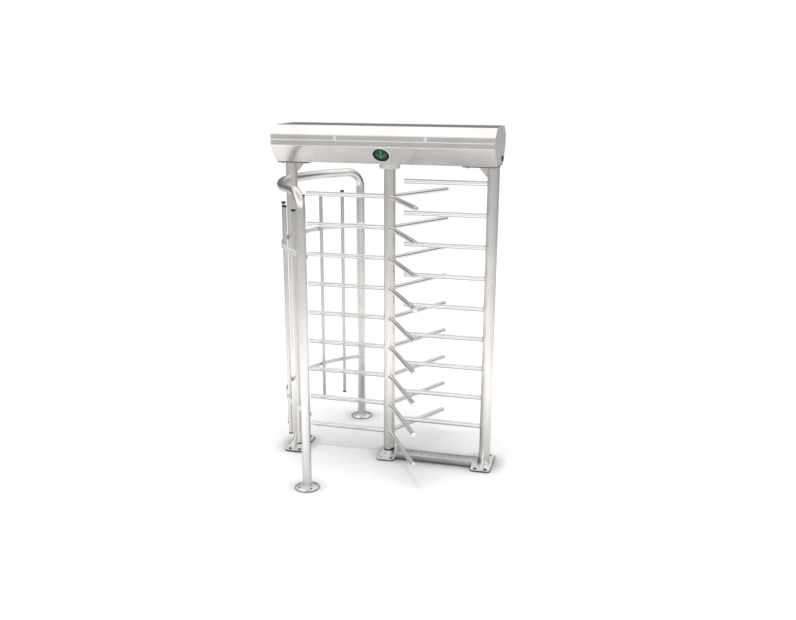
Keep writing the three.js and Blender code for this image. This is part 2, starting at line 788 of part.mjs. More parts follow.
// Fixed half of each hinge: two knuckles, the pin through the lid's ear, and the leaf on the tray's lip
function lidHinge(side) {
  const half = hingeKnuckle / 2 + fitGap;
  const knuckles = [-1, 1].map((end) => {
    const low = end > 0 ? half : -half - hingeKnuckle;
    return rodAlongX(hingeDiameter / 2, low, low + hingeKnuckle);
  });
  const pin = rodAlongX(hingePinDiameter / 2, -half - hingeKnuckle / 2, half + hingeKnuckle / 2);
  [...knuckles, pin].forEach((piece) => piece.translate(0, hingeAxis[0], hingeAxis[1]));
  const leafHeight = lidSplitHeight - lipFoot;
  const leafTop = lidSplitHeight - hingeDiameter / 2;
  const leaves = [-1, 1].map((end) => block(
    [hingeKnuckle, hingeLeafThickness, leafHeight],
    [end * (half + hingeKnuckle / 2), lipHalf + fitGap + hingeLeafThickness / 2, lidSplitHeight - leafHeight]));
  const bridge = block(
    [2 * (half + hingeKnuckle), hingeLeafThickness, leafTop - lipFoot - fitGap],
    [0, lipHalf + fitGap + hingeLeafThickness / 2, lipFoot]);
  const whole = joined(...knuckles, pin, ...leaves, bridge);
  return geometryOf(whole.translate([side * hingePlace, 0, 0]));
}

addPiece('head_tray', tray(), sheetSteel);
addPiece('left_end_cap', endCap(-1), sheetSteel);
addPiece('right_end_cap', endCap(1), sheetSteel);
addPiece('roof_lid', roofLid(), sheetSteel);
addPiece('lid_hinge_left', lidHinge(-1), machinedSteel);
addPiece('lid_hinge_right', lidHinge(1), machinedSteel);
addPiece('indicator_bezel_front', indicatorBezel(-1), brightSteel);
addPiece('indicator_lens_front', indicatorLens(-1), greenGlass);
addPiece('indicator_bezel_back', indicatorBezel(1), brightSteel);
addPiece('indicator_lens_back', indicatorLens(1), greenGlass);
addPiece('key_lock', keyLock(), blackPlastic);

// Top bearing of the rotor, in a round housing bolted under the tray
function bearingHousing() {
  const bore = bearingRadius + fitGap;
  const outer = bearingRadius + housingWall;
  const top = trayBottomHeight - fitGap;
  const floor = bearingHousingFoot + bearingLip;
  return turned([
    [bore - bearingShoulder, bearingHousingFoot],
    [outer - bearingLip, bearingHousingFoot],
    [outer, floor],
    [outer, top],
    [bore, top],
    [bore, floor],
    [bore - bearingShoulder, floor],
  ]);
}

function topBearing() {
  const low = bearingHousingFoot + bearingLip + fitGap;
  return pipe(bearingRadius, shaftRadius + fitGap, low, low + bearingHeight);
}

addPiece('bearing_housing', bearingHousing(), satinSteel);
addPiece('top_bearing', topBearing(), machinedSteel);

// Disc on the shaft with a notch for each wing and one halfway to the next, on a hub that stands on the bearing
function lockDisc() {
  const bearingTop = bearingHousingFoot + bearingLip + fitGap + bearingHeight;
  const body = joined(
    rod(lockDiscRadius, lockDiscHeight, lockDiscHeight + lockDiscThickness, discSides),
    rod(discHubRadius, bearingTop + fitGap, gearHeight - fitGap),
  );
  const stopCount = wingCount * stopsPerWing;
  const notches = Array.from({ length: stopCount }, (_, index) => {
    const notch = block([lockNotchDepth + overrun, lockNotchWidth, lockDiscThickness + 2 * overrun],
      [lockDiscRadius - lockNotchDepth + (lockNotchDepth + overrun) / 2, 0, lockDiscHeight - overrun]);
    notch.rotateZ(wingAngles[0] + index * 2 * Math.PI / stopCount);
    return notch;
  });
  const bore = rod(shaftRadius + fitGap, bearingTop - overrun, gearHeight + overrun);
  return geometryOf(cut(body, ...notches, bore));
}

// Outline of a toothed wheel: each tooth is a trapezium on the root circle
function toothedOutline(teeth, phase) {
  const pitchRadius = gearModule * teeth / 2;
  const root = pitchRadius - toothHeight / 2 - fitGap;
  const tip = pitchRadius + toothHeight / 2 - fitGap;
  const step = 2 * Math.PI / teeth;
  const outline = [];
  for (let i = 0; i < teeth; i += 1) {
    const centre = phase + i * step;
    const baseHalf = step * toothBaseShare / 2;
    const tipHalf = step * toothTipShare / 2;
    const corners = [[root, -baseHalf], [tip, -tipHalf], [tip, tipHalf], [root, baseHalf]];
    corners.forEach(([radius, offset]) => outline.push([
      radius * Math.cos(centre + offset),
      radius * Math.sin(centre + offset),
    ]));
  }
  return outline;
}

function driveGear() {
  const body = solidOf(extrudedUp(toothedOutline(gearTeeth, 0), gearHeight, gearThickness));
  const bore = rod(shaftRadius + fitGap, gearHeight - overrun, gearHeight + gearThickness + overrun);
  return geometryOf(cut(body, bore));
}

// Pinion of the damper, on a shaft that goes down into the damper's body
function damperPinion() {
  const shaftFoot = trayFloor + fitGap + damperHeight - damperSocketDepth + fitGap;
  const wheel = extrudedUp(toothedOutline(pinionTeeth, Math.PI + Math.PI / pinionTeeth), gearHeight, gearThickness);
  const whole = joined(wheel, rod(pinionShaftDiameter / 2, shaftFoot, gearHeight + gearThickness / 2));
  return geometryOf(whole.translate([pinionPlace, 0, 0]));
}

function damperBody() {
  const foot = trayFloor + fitGap;
  const top = foot + damperHeight;
  const body = solidOf(rod(damperDiameter / 2, foot, top));
  const socket = rod(pinionShaftDiameter / 2 + fitGap, top - damperSocketDepth, top + overrun);
  return geometryOf(cut(body, socket).translate([pinionPlace, 0, 0]));
}

addPiece('lock_disc', lockDisc(), machinedSteel);
addPiece('drive_gear', driveGear(), machinedSteel);
addPiece('damper_pinion', damperPinion(), machinedSteel);
addPiece('damper_body', damperBody(), greyEnamel);

// Locking pawls: face is -1 for the front one and 1 for the back one
function lockPawl(face) {
  const eye = rod(pawlEyeDiameter / 2, lockDiscHeight, lockDiscHeight + pawlThickness);
  eye.translate(pawlPivotX, pawlPivotSide, 0);
  const half = pawlTipWidth / 2;
  const arm = extrudedUp([
    [pawlPivotX - pawlPinDiameter / 2, pawlPivotSide],
    [pawlTipX - 2 * pawlTipWidth, pawlTipSide],
    [pawlTipX, pawlTipSide - half],
    [pawlTipX, pawlTipSide + half],
    [pawlTipX - pawlTipWidth, pawlTipSide + 3 * half],
    [pawlPivotX + pawlPinDiameter, pawlPivotSide],
  ], lockDiscHeight, pawlThickness);
  const bore = rod(pawlPinDiameter / 2 + fitGap, lockDiscHeight - overrun, lockDiscHeight + pawlThickness + overrun);
  bore.translate(pawlPivotX, pawlPivotSide, 0);
  const pawl = cut(joined(eye, arm), bore);
  return geometryOf(face > 0 ? pawl : pawl.mirror([0, 1, 0]));
}

// Bracket on the tray with the pins of both pawls and the two holding magnets
function lockBracket() {
  const [width, depth, thickness] = bracketSize;
  const foot = trayFloor + fitGap;
  const top = foot + thickness;
  const plate = block([width, depth, thickness], [pawlPivotX - bracketOffset, 0, foot]);
  const magnetX = pawlPivotX - magnetOffset;
  const pieces = [-1, 1].flatMap((face) => {
    const pin = rod(pawlPinDiameter / 2, foot, lockDiscHeight + pawlThickness + boltHeadHeight / 2);
    const boss = rod(pawlEyeDiameter / 2, foot, lockDiscHeight - fitGap);
    [pin, boss].forEach((piece) => piece.translate(pawlPivotX, face * pawlPivotSide, 0));
    const coil = rodAlongX(magnetDiameter / 2, -magnetLength / 2, magnetLength / 2);
    coil.translate(magnetX, face * magnetSide, top + magnetFoot);
    const stand = block([magnetLength / 2, magnetDiameter / 2, magnetFoot], [magnetX, face * magnetSide, foot]);
    return [pin, boss, coil, stand];
  });
  return geometryOf(joined(plate, ...pieces));
}

addPiece('lock_pawl_front', lockPawl(-1), machinedSteel);
addPiece('lock_pawl_back', lockPawl(1), machinedSteel);
addPiece('lock_bracket', lockBracket(), machinedSteel);

// Control box and power supply on the tray's floor
const controlBoxX = controlBoxInset - headLength / 2;
const supplyBoxX = headLength / 2 - supplyBoxInset;
addPiece('control_box', block(controlBoxSize, [controlBoxX, 0, trayFloor + fitGap]), greyCase);
addPiece('power_supply', block(supplyBoxSize, [supplyBoxX, 0, trayFloor + fitGap]), greyCase);

export default turnstile;
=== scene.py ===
import bpy
import bmesh
from math import acos, asin, atan2, cos, hypot, pi, radians, sin, sqrt, tan
from types import SimpleNamespace
from mathutils import Matrix, Vector


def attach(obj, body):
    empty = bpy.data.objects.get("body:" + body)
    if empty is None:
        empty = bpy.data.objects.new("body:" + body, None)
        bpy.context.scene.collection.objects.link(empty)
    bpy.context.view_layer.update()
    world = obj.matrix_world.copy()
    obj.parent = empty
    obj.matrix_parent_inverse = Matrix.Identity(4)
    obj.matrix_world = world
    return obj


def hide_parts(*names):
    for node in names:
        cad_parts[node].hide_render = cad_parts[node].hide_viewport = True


# Full height turnstile in stainless steel. Metres, +Z up, -Y is the front.
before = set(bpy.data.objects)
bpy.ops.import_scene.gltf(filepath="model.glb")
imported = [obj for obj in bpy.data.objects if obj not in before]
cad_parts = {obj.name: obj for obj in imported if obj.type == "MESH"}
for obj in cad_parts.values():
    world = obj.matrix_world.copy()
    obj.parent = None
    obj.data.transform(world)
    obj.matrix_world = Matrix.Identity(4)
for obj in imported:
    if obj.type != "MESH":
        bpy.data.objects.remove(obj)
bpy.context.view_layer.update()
print("frame loaded,", len(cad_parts), "nodes")

fullTurn = 2 * pi
quarterTurn = pi / 2
sharpAngle = radians(34)  # edges that bend more are sharp and get rounded
leftRight = ((-1, "left"), (1, "right"))
frontBack = ((-1, "front"), (1, "back"))


# Collects the faces of one piece, each with the number of its finish
class Shell:
    def __init__(self):
        self.verts, self.faces, self.finish = [], [], []

    # edge is the finish of all faces but the last two, which are a plate's flat sides
    def add(self, part, at=None, finish=0, edge=None):
        verts, faces = part
        start = len(self.verts)
        self.verts += [at @ Vector(v) if at else Vector(v) for v in verts]
        self.faces += [tuple(start + i for i in face) for face in faces]
        self.finish += [finish] * len(faces) if edge is None else [edge] * (len(faces) - 2) + [finish] * 2
        return self


# Joins rings of equally many points with quads, and closes the ends with flat faces
def loft(rings, loop=False):
    count, size = len(rings), len(rings[0])
    faces = []
    for i in range(count if loop else count - 1):
        a, b = i * size, (i + 1) % count * size
        for k in range(size):
            m = (k + 1) % size
            faces.append((a + k, a + m, b + m, b + k))
    if not loop:
        faces += [tuple(reversed(range(size))), tuple(range((count - 1) * size, count * size))]
    return [p for ring in rings for p in ring], faces


def circle(radius, count, start=0.0):
    angles = [start + fullTurn * k / count for k in range(count)]
    return [(radius * cos(a), radius * sin(a)) for a in angles]


# Cosine and sine at the steps of a quarter turn, without the first
def quarterArc(steps):
    return [(cos(i / steps * quarterTurn), sin(i / steps * quarterTurn)) for i in range(1, steps + 1)]


# Turns (radius, height) points round the Z axis; loop joins the last point to the first
def turned(profile, sides=48, loop=False):
    return loft([[(x, y, height) for x, y in circle(radius, sides)] for radius, height in profile], loop)


def tube(inner, outer, low, high, sides, loop=True):
    return turned([(inner, low), (outer, low), (outer, high), (inner, high)], sides, loop)


def rod(radius, low, high, sides):
    return turned([(radius, low), (radius, high)], sides)


# Pulls a flat outline of (x, y) points up from one height to another
def prism(outline, low, high):
    return loft([[(x, y, z) for x, y in outline] for z in (low, high)])


def box(low, high):
    outline = [(low[0], low[1]), (high[0], low[1]), (high[0], high[1]), (low[0], high[1])]
    return prism(outline, low[2], high[2])


def roundedOutline(width, depth, corner, steps=8):
    points = []
    for quarter, (sx, sy) in enumerate(((1, 1), (-1, 1), (-1, -1), (1, -1))):
        for i in range(steps + 1):
            a = quarterTurn * (quarter + i / steps)
            points.append((sx * (width / 2 - corner) + corner * cos(a),
                           sy * (depth / 2 - corner) + corner * sin(a)))
    return points


# Any direction well away from the one given
def sideways(direction):
    return Vector((0, 0, 1)) if abs(direction.z) < 0.9 else Vector((1, 0, 0))


# Frame whose Z axis points along a direction
def facing(origin, direction):
    z = Vector(direction).normalized()
    x = sideways(z)
    x = (x - z * x.dot(z)).normalized()
    place = Matrix((x, z.cross(x), z)).transposed().to_4x4()
    place.translation = Vector(origin)
    return place


def shifted(x, y, z):
    return Matrix.Translation((x, y, z))


def turnedBy(degrees, axis="Z"):
    return Matrix.Rotation(radians(degrees), 4, axis)


# Places of a plate's four bolts
def corners(x, y, z):
    return [shifted(a * x, b * y, z) for a in (-1, 1) for b in (-1, 1)]


def moved(part, at):
    verts, faces = part
    return [at @ Vector(v) for v in verts], faces


# Sweeps a round section along points, with a radius for each point
def sweep(points, radius, sides=16, closed=False):
    points = [Vector(p) for p in points]
    count = len(points)
    radii = radius if isinstance(radius, list) else [radius] * count
    rings, normal = [], None
    for i, p in enumerate(points):
        before = points[i - 1] if closed or i else p
        after = points[(i + 1) % count] if closed or i < count - 1 else p
        tangent = (after - before).normalized()
        normal = sideways(tangent) if normal is None else normal
        normal = (normal - tangent * normal.dot(tangent)).normalized()
        side = tangent.cross(normal)
        rings.append([p + normal * x + side * y for x, y in circle(radii[i], sides)])
    verts, faces = loft(rings)
    if not closed:
        return verts, faces
    # the last ring may have turned against the first, so it is joined at the nearest point
    turn = min(range(sides), key=lambda k: (rings[-1][0] - rings[0][k]).length)
    faces = faces[:-2]
    base = (count - 1) * sides
    for k in range(sides):
        faces.append((base + k, base + (k + 1) % sides, (k + 1 + turn) % sides, (k + turn) % sides))
    return verts, faces


weldSizes = dict(radius=0.0024, ripple=0.14, pitch=0.0032, sides=8, step=0.0012)


def weldRadii(length, count):
    waves = max(4, round(length / weldSizes["pitch"] / 2))
    radius, ripple = weldSizes["radius"], weldSizes["ripple"]
    return [radius * (1 + ripple * sin(fullTurn * waves * i / count)) for i in range(count)]


# Bead where a small tube meets a larger upright one; the small tube leaves along local X
def saddleWeld(small, large, steps=56):
    points = [(sqrt(large ** 2 - y ** 2), y, z) for z, y in circle(small, steps)]
    return sweep(points, weldRadii(fullTurn * small, steps), weldSizes["sides"], closed=True)


def ringWeld(radius, height, steps=96):
    points = [(x, y, height) for x, y in circle(radius, steps)]
    return sweep(points, weldRadii(fullTurn * radius, steps), weldSizes["sides"], closed=True)


def lineWeld(start, end):
    start, end = Vector(start), Vector(end)
    length = (end - start).length
    count = max(8, round(length / weldSizes["step"]))
    radii = weldRadii(length, count)
    radii[0] = radii[-1] = weldSizes["radius"] * 0.4
    return sweep([start.lerp(end, i / (count - 1)) for i in range(count)], radii, weldSizes["sides"])


# Hexagon head with a chamfered crown on a washer, standing on Z = 0
def hexBolt(radius, height):
    washer, chamfered = radius * 1.3, radius * 1.24
    head = [[(x * share, y * share, height * z) for x, y in circle(radius, 6)]
            for share, z in ((1, 0.18), (1, 0.86), (0.84, 1))]
    bolt = Shell().add(loft(head))
    bolt.add(turned([(washer, 0), (washer, height * 0.14), (chamfered, height * 0.2)], 32))
    return bolt.verts, bolt.faces


# Button head with a hexagonal socket, standing on Z = 0
def buttonBolt(radius, height):
    sides, flat = 24, pi / 6

    def ring(r, z, hexed=0.0):
        out = []
        for k in range(sides):
            a = fullTurn * k / sides
            bend = (a + flat) % (2 * flat) - flat
            reach = r * (1 - hexed + hexed * cos(flat) / cos(bend))
            out.append((reach * cos(a), reach * sin(a), z * height))
        return out
    rings = [ring(radius, 0), ring(radius, 0.3)]
    rings += [ring(radius * (0.5 + 0.5 * c), 0.3 + 0.7 * s) for c, s in quarterArc(5)[:-1]]
    return loft(rings + [ring(radius * 0.52, 1), ring(radius * 0.5, 0.98, 1.0), ring(radius * 0.48, 0.35, 1.0)])


# Rounds the corners of an open line of (y, z) points
def filleted(line, radius, steps=5):
    line = [Vector(p) for p in line]
    points = [line[0]]
    for before, corner, after in zip(line, line[1:], line[2:]):
        a, b = (before - corner).normalized(), (after - corner).normalized()
        half = a.angle(b) / 2
        reach = radius / tan(half)
        centre = corner + (a + b).normalized() * radius / sin(half)
        start, end = corner + a * reach - centre, corner + b * reach - centre
        for k in range(steps + 1):
            t = k / steps
            points.append(centre + (start * (1 - t) + end * t).normalized() * radius)
    return points + [line[-1]]


# Closed outline of a folded sheet, its thickness on the left of the line
def sheetOutline(line, thickness):
    inner = []
    for i, p in enumerate(line):
        normals = []
        for a, b in ((max(i - 1, 0), i), (i, min(i + 1, len(line) - 1))):
            if a != b:
                run = (line[b] - line[a]).normalized()
                normals.append(Vector((-run.y, run.x)))
        total = sum(normals, Vector((0, 0)))
        inner.append(p + total * thickness * len(normals) / total.length_squared)
    return [tuple(p) for p in line] + [tuple(p) for p in reversed(inner)]


# Follows half a line of (y, z) points with its mirror image
def bothSides(half):
    return half + [(-y, z) for y, z in reversed(half)]


# Lays an outline of (y, z) points along X
def alongX(outline, start, end):
    return loft([[(x, y, z) for y, z in outline] for x in (start, end)])


# Makes a mesh with its faces turned outwards
def newMesh(name, verts, faces):
    mesh = bpy.data.meshes.new(name)
    mesh.from_pydata([tuple(v) for v in verts], [], faces)
    bm = bmesh.new()
    bm.from_mesh(mesh)
    bmesh.ops.recalc_face_normals(bm, faces=bm.faces)
    bm.to_mesh(mesh)
    bm.free()
    return mesh


def newObject(name, data):
    thing = bpy.data.objects.new(name, data)
    bpy.context.scene.collection.objects.link(thing)
    return thing


def smoothed(mesh):
    mesh.shade_smooth()
    mesh.set_sharp_from_angle(angle=sharpAngle)


# Makes one Blender object that rides on a body and stands for the CAD nodes named
def makePiece(name, shell, finishes, body, stands=(), bevel=0.0006, segments=2):
    mesh = newMesh(name, shell.verts, shell.faces)
    for material in finishes:
        mesh.materials.append(material)
    mesh.polygons.foreach_set("material_index", shell.finish)
    smoothed(mesh)
    piece = newObject(name, mesh)
    if bevel:
        rounding = piece.modifiers.new("rounded edges", "BEVEL")
        rounding.width = bevel
        rounding.segments = segments
        rounding.limit_method = "ANGLE"
        rounding.angle_limit = sharpAngle
        rounding.harden_normals = True
    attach(piece, body)
    if stands:
        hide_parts(*stands)
    return piece


# Cuts closed shapes out of a piece before its edges are rounded, and leaves no cutter behind
def cutOut(piece, parts):
    for rounding in piece.modifiers:
        rounding.show_viewport = False
    for verts, faces in parts:
        cutter = newObject("cutter", newMesh("cutter", verts, faces))
        step = piece.modifiers.new("cut", "BOOLEAN")
        step.operation = "DIFFERENCE"
        step.object = cutter
        step.solver = "EXACT"
        bpy.context.view_layer.update()
        result = bpy.data.meshes.new_from_object(piece.evaluated_get(bpy.context.evaluated_depsgraph_get()))
        piece.modifiers.remove(step)
        piece.data = result
        bpy.data.objects.remove(cutter)
    for rounding in piece.modifiers:
        rounding.show_viewport = True
    smoothed(piece.data)


# Runs the functions that build something from one dictionary of sizes
def make(stage, sizes, *builders):
    for build in builders:
        build(SimpleNamespace(**sizes))
    print(stage, "made")


# Gives each input of a node a value, or a link from another node's output
def fill(tree, node, inputs):
    for key, value in inputs.items():
        if isinstance(value, bpy.types.NodeSocket):
            tree.links.new(value, node.inputs[key])
        else:
            node.inputs[key].default_value = value
    return node


def addNode(tree, kind, inputs=None):
    return fill(tree, tree.nodes.new("ShaderNode" + kind), inputs or {})


# Noise in the object's own coordinates, stretched by a scale on each axis
def grainNoise(tree, scale, detail):
    place = addNode(tree, "TexCoord").outputs["Object"]
    mapping = addNode(tree, "Mapping", {"Vector": place, "Scale": scale})
    noise = addNode(tree, "TexNoise", {"Vector": mapping.outputs["Vector"], "Scale": 1.0, "Detail": detail})
    return noise.outputs["Fac"]


def ranged(tree, source, low, high, start=0.3, end=0.7, kind="LINEAR"):
    inputs = {"Value": source, "From Min": start, "From Max": end, "To Min": low, "To Max": high}
    node = addNode(tree, "MapRange", inputs)
    node.interpolation_type = kind
    return node.outputs["Result"]


def ramped(tree, source, stops, kind="LINEAR"):
    node = addNode(tree, "ValToRGB", {"Fac": source})
    ramp = node.color_ramp
    ramp.interpolation = kind
    while len(ramp.elements) < len(stops):
        ramp.elements.new(0.5)
    for element, (place, color) in zip(ramp.elements, stops):
        element.position = place
        element.color = (*color, 1)
    return node.outputs["Color"]


def newMaterial(name, color, roughness, metallic):
    material = bpy.data.materials.new(name)
    material.use_nodes = True
    shader = material.node_tree.nodes["Principled BSDF"]
    fill(material.node_tree, shader, {"Base Color": (*color, 1), "Roughness": roughness, "Metallic": metallic})
    return material, material.node_tree, shader


# Tone follows one noise, roughness and relief another; each is given as its scales and its detail
def noisyFinish(name, color, roughness, metallic, tone, grain, patch, spread, relief, distance):
    material, tree, shader = newMaterial(name, color, roughness, metallic)
    tone, grain = grainNoise(tree, *tone), grainNoise(tree, *grain)
    dark = [c * (1 - patch) for c in color]
    light = [min(1, c * (1 + patch)) for c in color]
    bump = addNode(tree, "Bump", {"Height": grain, "Strength": relief, "Distance": distance})
    fill(tree, shader, {
        "Base Color": ramped(tree, tone, ((0.3, dark), (0.7, light))),
        "Roughness": ranged(tree, grain, roughness - spread, roughness + spread),
        "Normal": bump.outputs["Normal"]})
    return material


# Ground metal: fine scratches across the long way of the tube, and broad soft patches in its tone
def brushedMetal(name, color, roughness, grain, spread=0.08, patch=0.05, scratch=0.12, metallic=1.0):
    clouds, lines = ((5, 5, 5), 2.0), (grain, 4.0)
    return noisyFinish(name, color, roughness, metallic, clouds, lines, patch, spread, scratch, 0.0002)


def speckled(name, color, roughness, metallic, scale, depth, patch=0.12):
    grain = ((scale,) * 3, 3.0)
    return noisyFinish(name, color, roughness, metallic, grain, grain, patch, roughness * 0.15, depth, 0.0004)


def glowing(name, color, strength):
    material, tree, shader = newMaterial(name, [c * 0.4 for c in color], 0.25, 0.0)
    grain = grainNoise(tree, (260, 260, 260), 1.0)
    tone = ramped(tree, grain, ((0.3, [c * 0.85 for c in color]), (0.7, color)))
    fill(tree, shader, {"Emission Color": tone, "Emission Strength": strength})
    return material


# Finishes
steelTone = (0.785, 0.762, 0.742)
postSteel = brushedMetal("uprightTubeSteel", steelTone, 0.24, (30, 30, 1400))
armSteel = brushedMetal("armTubeSteel", (0.84, 0.835, 0.82), 0.12, (900, 900, 60), spread=0.03, scratch=0.03)
sheetSteel = brushedMetal("headSheetSteel", steelTone, 0.24, (12, 900, 900))
barSteel = brushedMetal("barTubeSteel", (0.70, 0.685, 0.67), 0.24, (30, 30, 1400))
bandSteel = brushedMetal("bandSteel", (0.95, 0.945, 0.94), 0.35, (60, 60, 900), metallic=0.3)
endCapSteel = brushedMetal("endCapSteel", (0.88, 0.875, 0.865), 0.48, (900, 12, 900), metallic=0.75)
plateSteel = brushedMetal("plateSteel", (0.91, 0.905, 0.895), 0.42, (60, 900, 900), metallic=0.6)
flangeSteel = brushedMetal("flangeSteel", (0.84, 0.835, 0.825), 0.24, (700, 700, 700),
                           spread=0.04, scratch=0.06, metallic=0.9)
# Dark finish for plate sides and flange rims: painted shade, the dark outline where they meet the floor
paintedShadeEdge = speckled("paintedShadeEdgeSteel", (0.17, 0.165, 0.16), 0.5, 0.9, 300, 0.1)
brightBolt = speckled("brightBoltSteel", (0.68, 0.67, 0.66), 0.32, 1.0, 500, 0.05)
darkBezel = speckled("darkBezel", (0.045, 0.045, 0.045), 0.35, 0.6, 700, 0.05)
railSteel = brushedMetal("railSteel", (0.62, 0.61, 0.60), 0.30, (1100, 30, 30))
machinedSteel = brushedMetal("machinedSteel", (0.52, 0.53, 0.54), 0.34, (500, 500, 500), scratch=0.2)
zincPlate = speckled("zincPlate", (0.50, 0.50, 0.50), 0.38, 1.0, 160, 0.05)
weldSteel = speckled("weldBeadSteel", (0.60, 0.58, 0.55), 0.40, 1.0, 420, 0.2)
boltSteel = speckled("darkBoltSteel", (0.13, 0.13, 0.13), 0.38, 0.9, 500, 0.15)
blackPlastic = speckled("blackPlastic", (0.012, 0.012, 0.012), 0.6, 0.0, 900, 0.1)
greyEnamel = speckled("greyEnamel", (0.26, 0.28, 0.29), 0.42, 0.0, 700, 0.15)
greyCase = speckled("greyCase", (0.30, 0.32, 0.33), 0.55, 0.0, 1500, 0.25)
copperWire = speckled("copperWire", (0.60, 0.24, 0.10), 0.30, 1.0, 600, 0.1)
darkLens = speckled("darkGreenLens", (0.006, 0.035, 0.014), 0.10, 0.0, 60, 0.02)
bronze = brushedMetal("bushBronze", (0.50, 0.34, 0.17), 0.35, (400, 400, 400))
ledLit = glowing("ledLit", (0.05, 0.66, 0.17), 0.38)
# unlit lights of the field: a faint painted glow
ledUnlitGlow = glowing("ledUnlitGlow", (0.01, 0.22, 0.06), 0.15)
print("finishes made")

# Rotor
rotorSizes = dict(
    columnRadius=0.038, wall=0.003, foot=0.047, hollowTop=0.092, top=2.020, shaftRadius=0.020, shaftTop=2.150,
    armRadius=0.016, reach=0.581, lowestArm=0.174, tierPitch=0.208, tiers=9, wings=(180, 300, 60),
    bushBore=0.0203, bushRadius=0.0347, bushTop=0.084)


# Arm along local Z with a welded cap: a fine groove just behind the tip, and rounded edges
def armTube(start, reach, radius):
    groove, soft = radius - 0.0004, 0.0022
    profile = [(radius * 0.5, start), (radius, start), (radius, reach - 0.0052), (groove, reach - 0.0048),
               (groove, reach - 0.0044), (radius, reach - 0.0040), (radius, reach - soft)]
    profile += [(radius - soft * (1 - c), reach - soft * (1 - s)) for c, s in quarterArc(4)]
    return turned(profile, 40)


def buildRotor(s):
    r, shaft, top, thin = s.columnRadius, s.shaftRadius, s.shaftTop, 0.0005
    column = Shell().add(turned([
        (thin, s.hollowTop), (r - s.wall, s.hollowTop), (r - s.wall, s.foot), (r, s.foot), (r, s.top),
        (shaft, s.top), (shaft, top - 0.006), (shaft - 0.001, top - 0.005), (shaft - 0.001, top - 0.004),
        (shaft, top - 0.003), (shaft - 0.0015, top), (0.004, top), (0.003, top - 0.004), (thin, top - 0.005)], 72))
    makePiece("rotorColumn", column, [postSteel], "rotor", ["rotor_column"])
    for tier in range(s.tiers):
        arms = Shell()
        for angle in s.wings:
            lay = shifted(0, 0, s.lowestArm + tier * s.tierPitch) @ turnedBy(angle)
            arms.add(armTube(r - 0.005, s.reach, s.armRadius), lay @ turnedBy(90, "Y"))
            arms.add(saddleWeld(s.armRadius, r), lay, 1)
        makePiece(f"rotorArms{tier + 1}", arms, [armSteel, weldSteel], "rotor",
                  [f"rotor_arms_tier_{tier + 1}"], bevel=0)
    bush = Shell().add(tube(s.bushBore, s.bushRadius, s.foot, s.bushTop, 48))
    makePiece("bottomBush", bush, [bronze], "rotor", ["bottom_bearing"])


make("rotor", rotorSizes, buildRotor)

# Floor plate under the rotor; the top of its pedestal is black, painted shade for the dark gap under the column
baseSizes = dict(width=0.120, depth=0.256, thickness=0.008, corner=0.024, pedestal=0.038, pedestalTop=0.042,
                 seal=0.006, chamfer=0.002, pivot=0.020, pivotTop=0.0837,
                 boltX=0.037, boltY=0.095, boltRadius=0.0095, boltHeight=0.0078)


def buildBase(s):
    # the plate's sides take the dark edge finish: painted shade
    plate = Shell().add(prism(roundedOutline(s.width, s.depth, s.corner), 0, s.thickness), edge=3)
    start, sides, r, top = len(plate.finish), 64, s.pedestal, s.pedestalTop
    plate.add(turned([
        (r, s.thickness - 0.001), (r, top - s.seal), (r, top - s.chamfer), (r - s.chamfer, top), (s.pivot, top),
        (s.pivot, s.pivotTop - s.chamfer), (s.pivot - s.chamfer, s.pivotTop)], sides))
    # black top band, chamfer and top face of the pedestal: painted shade for the gap under the column
    plate.finish[start + sides:start + 4 * sides] = [4] * (3 * sides)
    plate.add(ringWeld(r, s.thickness), finish=1)
    for number, corner in enumerate(corners(s.boltX, s.boltY, s.thickness)):
        plate.add(hexBolt(s.boltRadius, s.boltHeight), corner, 2 if number == 2 else 5)
    makePiece("rotorBase", plate, [plateSteel, weldSteel, boltSteel, paintedShadeEdge, blackPlastic, brightBolt],
              "stand", ["rotor_base"])


make("rotor base", baseSizes, buildBase)

# Posts with the plates and gussets under the head
postSizes = dict(
    half=0.683, radius=0.038, wall=0.003, foot=0.0103, plateInner=0.505, plateOuter=0.720, plateDepth=0.310,
    plateFoot=2.0557, plateTop=2.0637, plateCorner=0.004, gussetReach=0.062, gussetHeight=0.072,
    gussetThickness=0.009, gussetNose=0.006, boltInset=0.028, boltRadius=0.009, boltHeight=0.0075)


def buildPosts(s):
    edge, top, t = s.half - s.radius, s.plateFoot, s.gussetThickness / 2
    low, tip, width = top - s.gussetHeight, edge - s.gussetReach, s.plateOuter - s.plateInner
    shape = [(edge + 0.002, low), (edge - s.gussetNose, low), (tip, top - s.gussetNose),
             (tip, top + 0.001), (edge + 0.002, top + 0.001)]
    for side, name in leftRight:
        centre, middle = shifted(side * s.half, 0, 0), shifted(side * (s.plateInner + s.plateOuter) / 2, 0, 0)
        post = Shell().add(tube(s.radius - s.wall, s.radius, s.foot, top + 0.002, 72, False), centre)
        # the plate's sides take the dark edge finish: painted shade
        post.add(prism(roundedOutline(width, s.plateDepth, s.plateCorner, 4), top, s.plateTop), middle, 1, edge=4)
        post.add(loft([[(side * x, y, z) for x, z in shape] for y in (-t, t)]))
        for y in (-t, t):
            post.add(lineWeld((side * edge, y, low), (side * edge, y, top - 0.003)), finish=2)
            post.add(lineWeld((side * tip, y, top), (side * (edge - 0.003), y, top)), finish=2)
        post.add(ringWeld(s.radius, top), centre, 2)
        for corner in corners(width / 2 - s.boltInset, s.plateDepth / 2 - s.boltInset, top):
            post.add(hexBolt(s.boltRadius, s.boltHeight), middle @ corner @ turnedBy(180, "X"), 3)
        makePiece(name + "Post", post, [postSteel, plateSteel, weldSteel, brightBolt, paintedShadeEdge],
                  "stand", [name + "_post"], bevel=0.0005)


make("posts", postSizes, buildPosts)

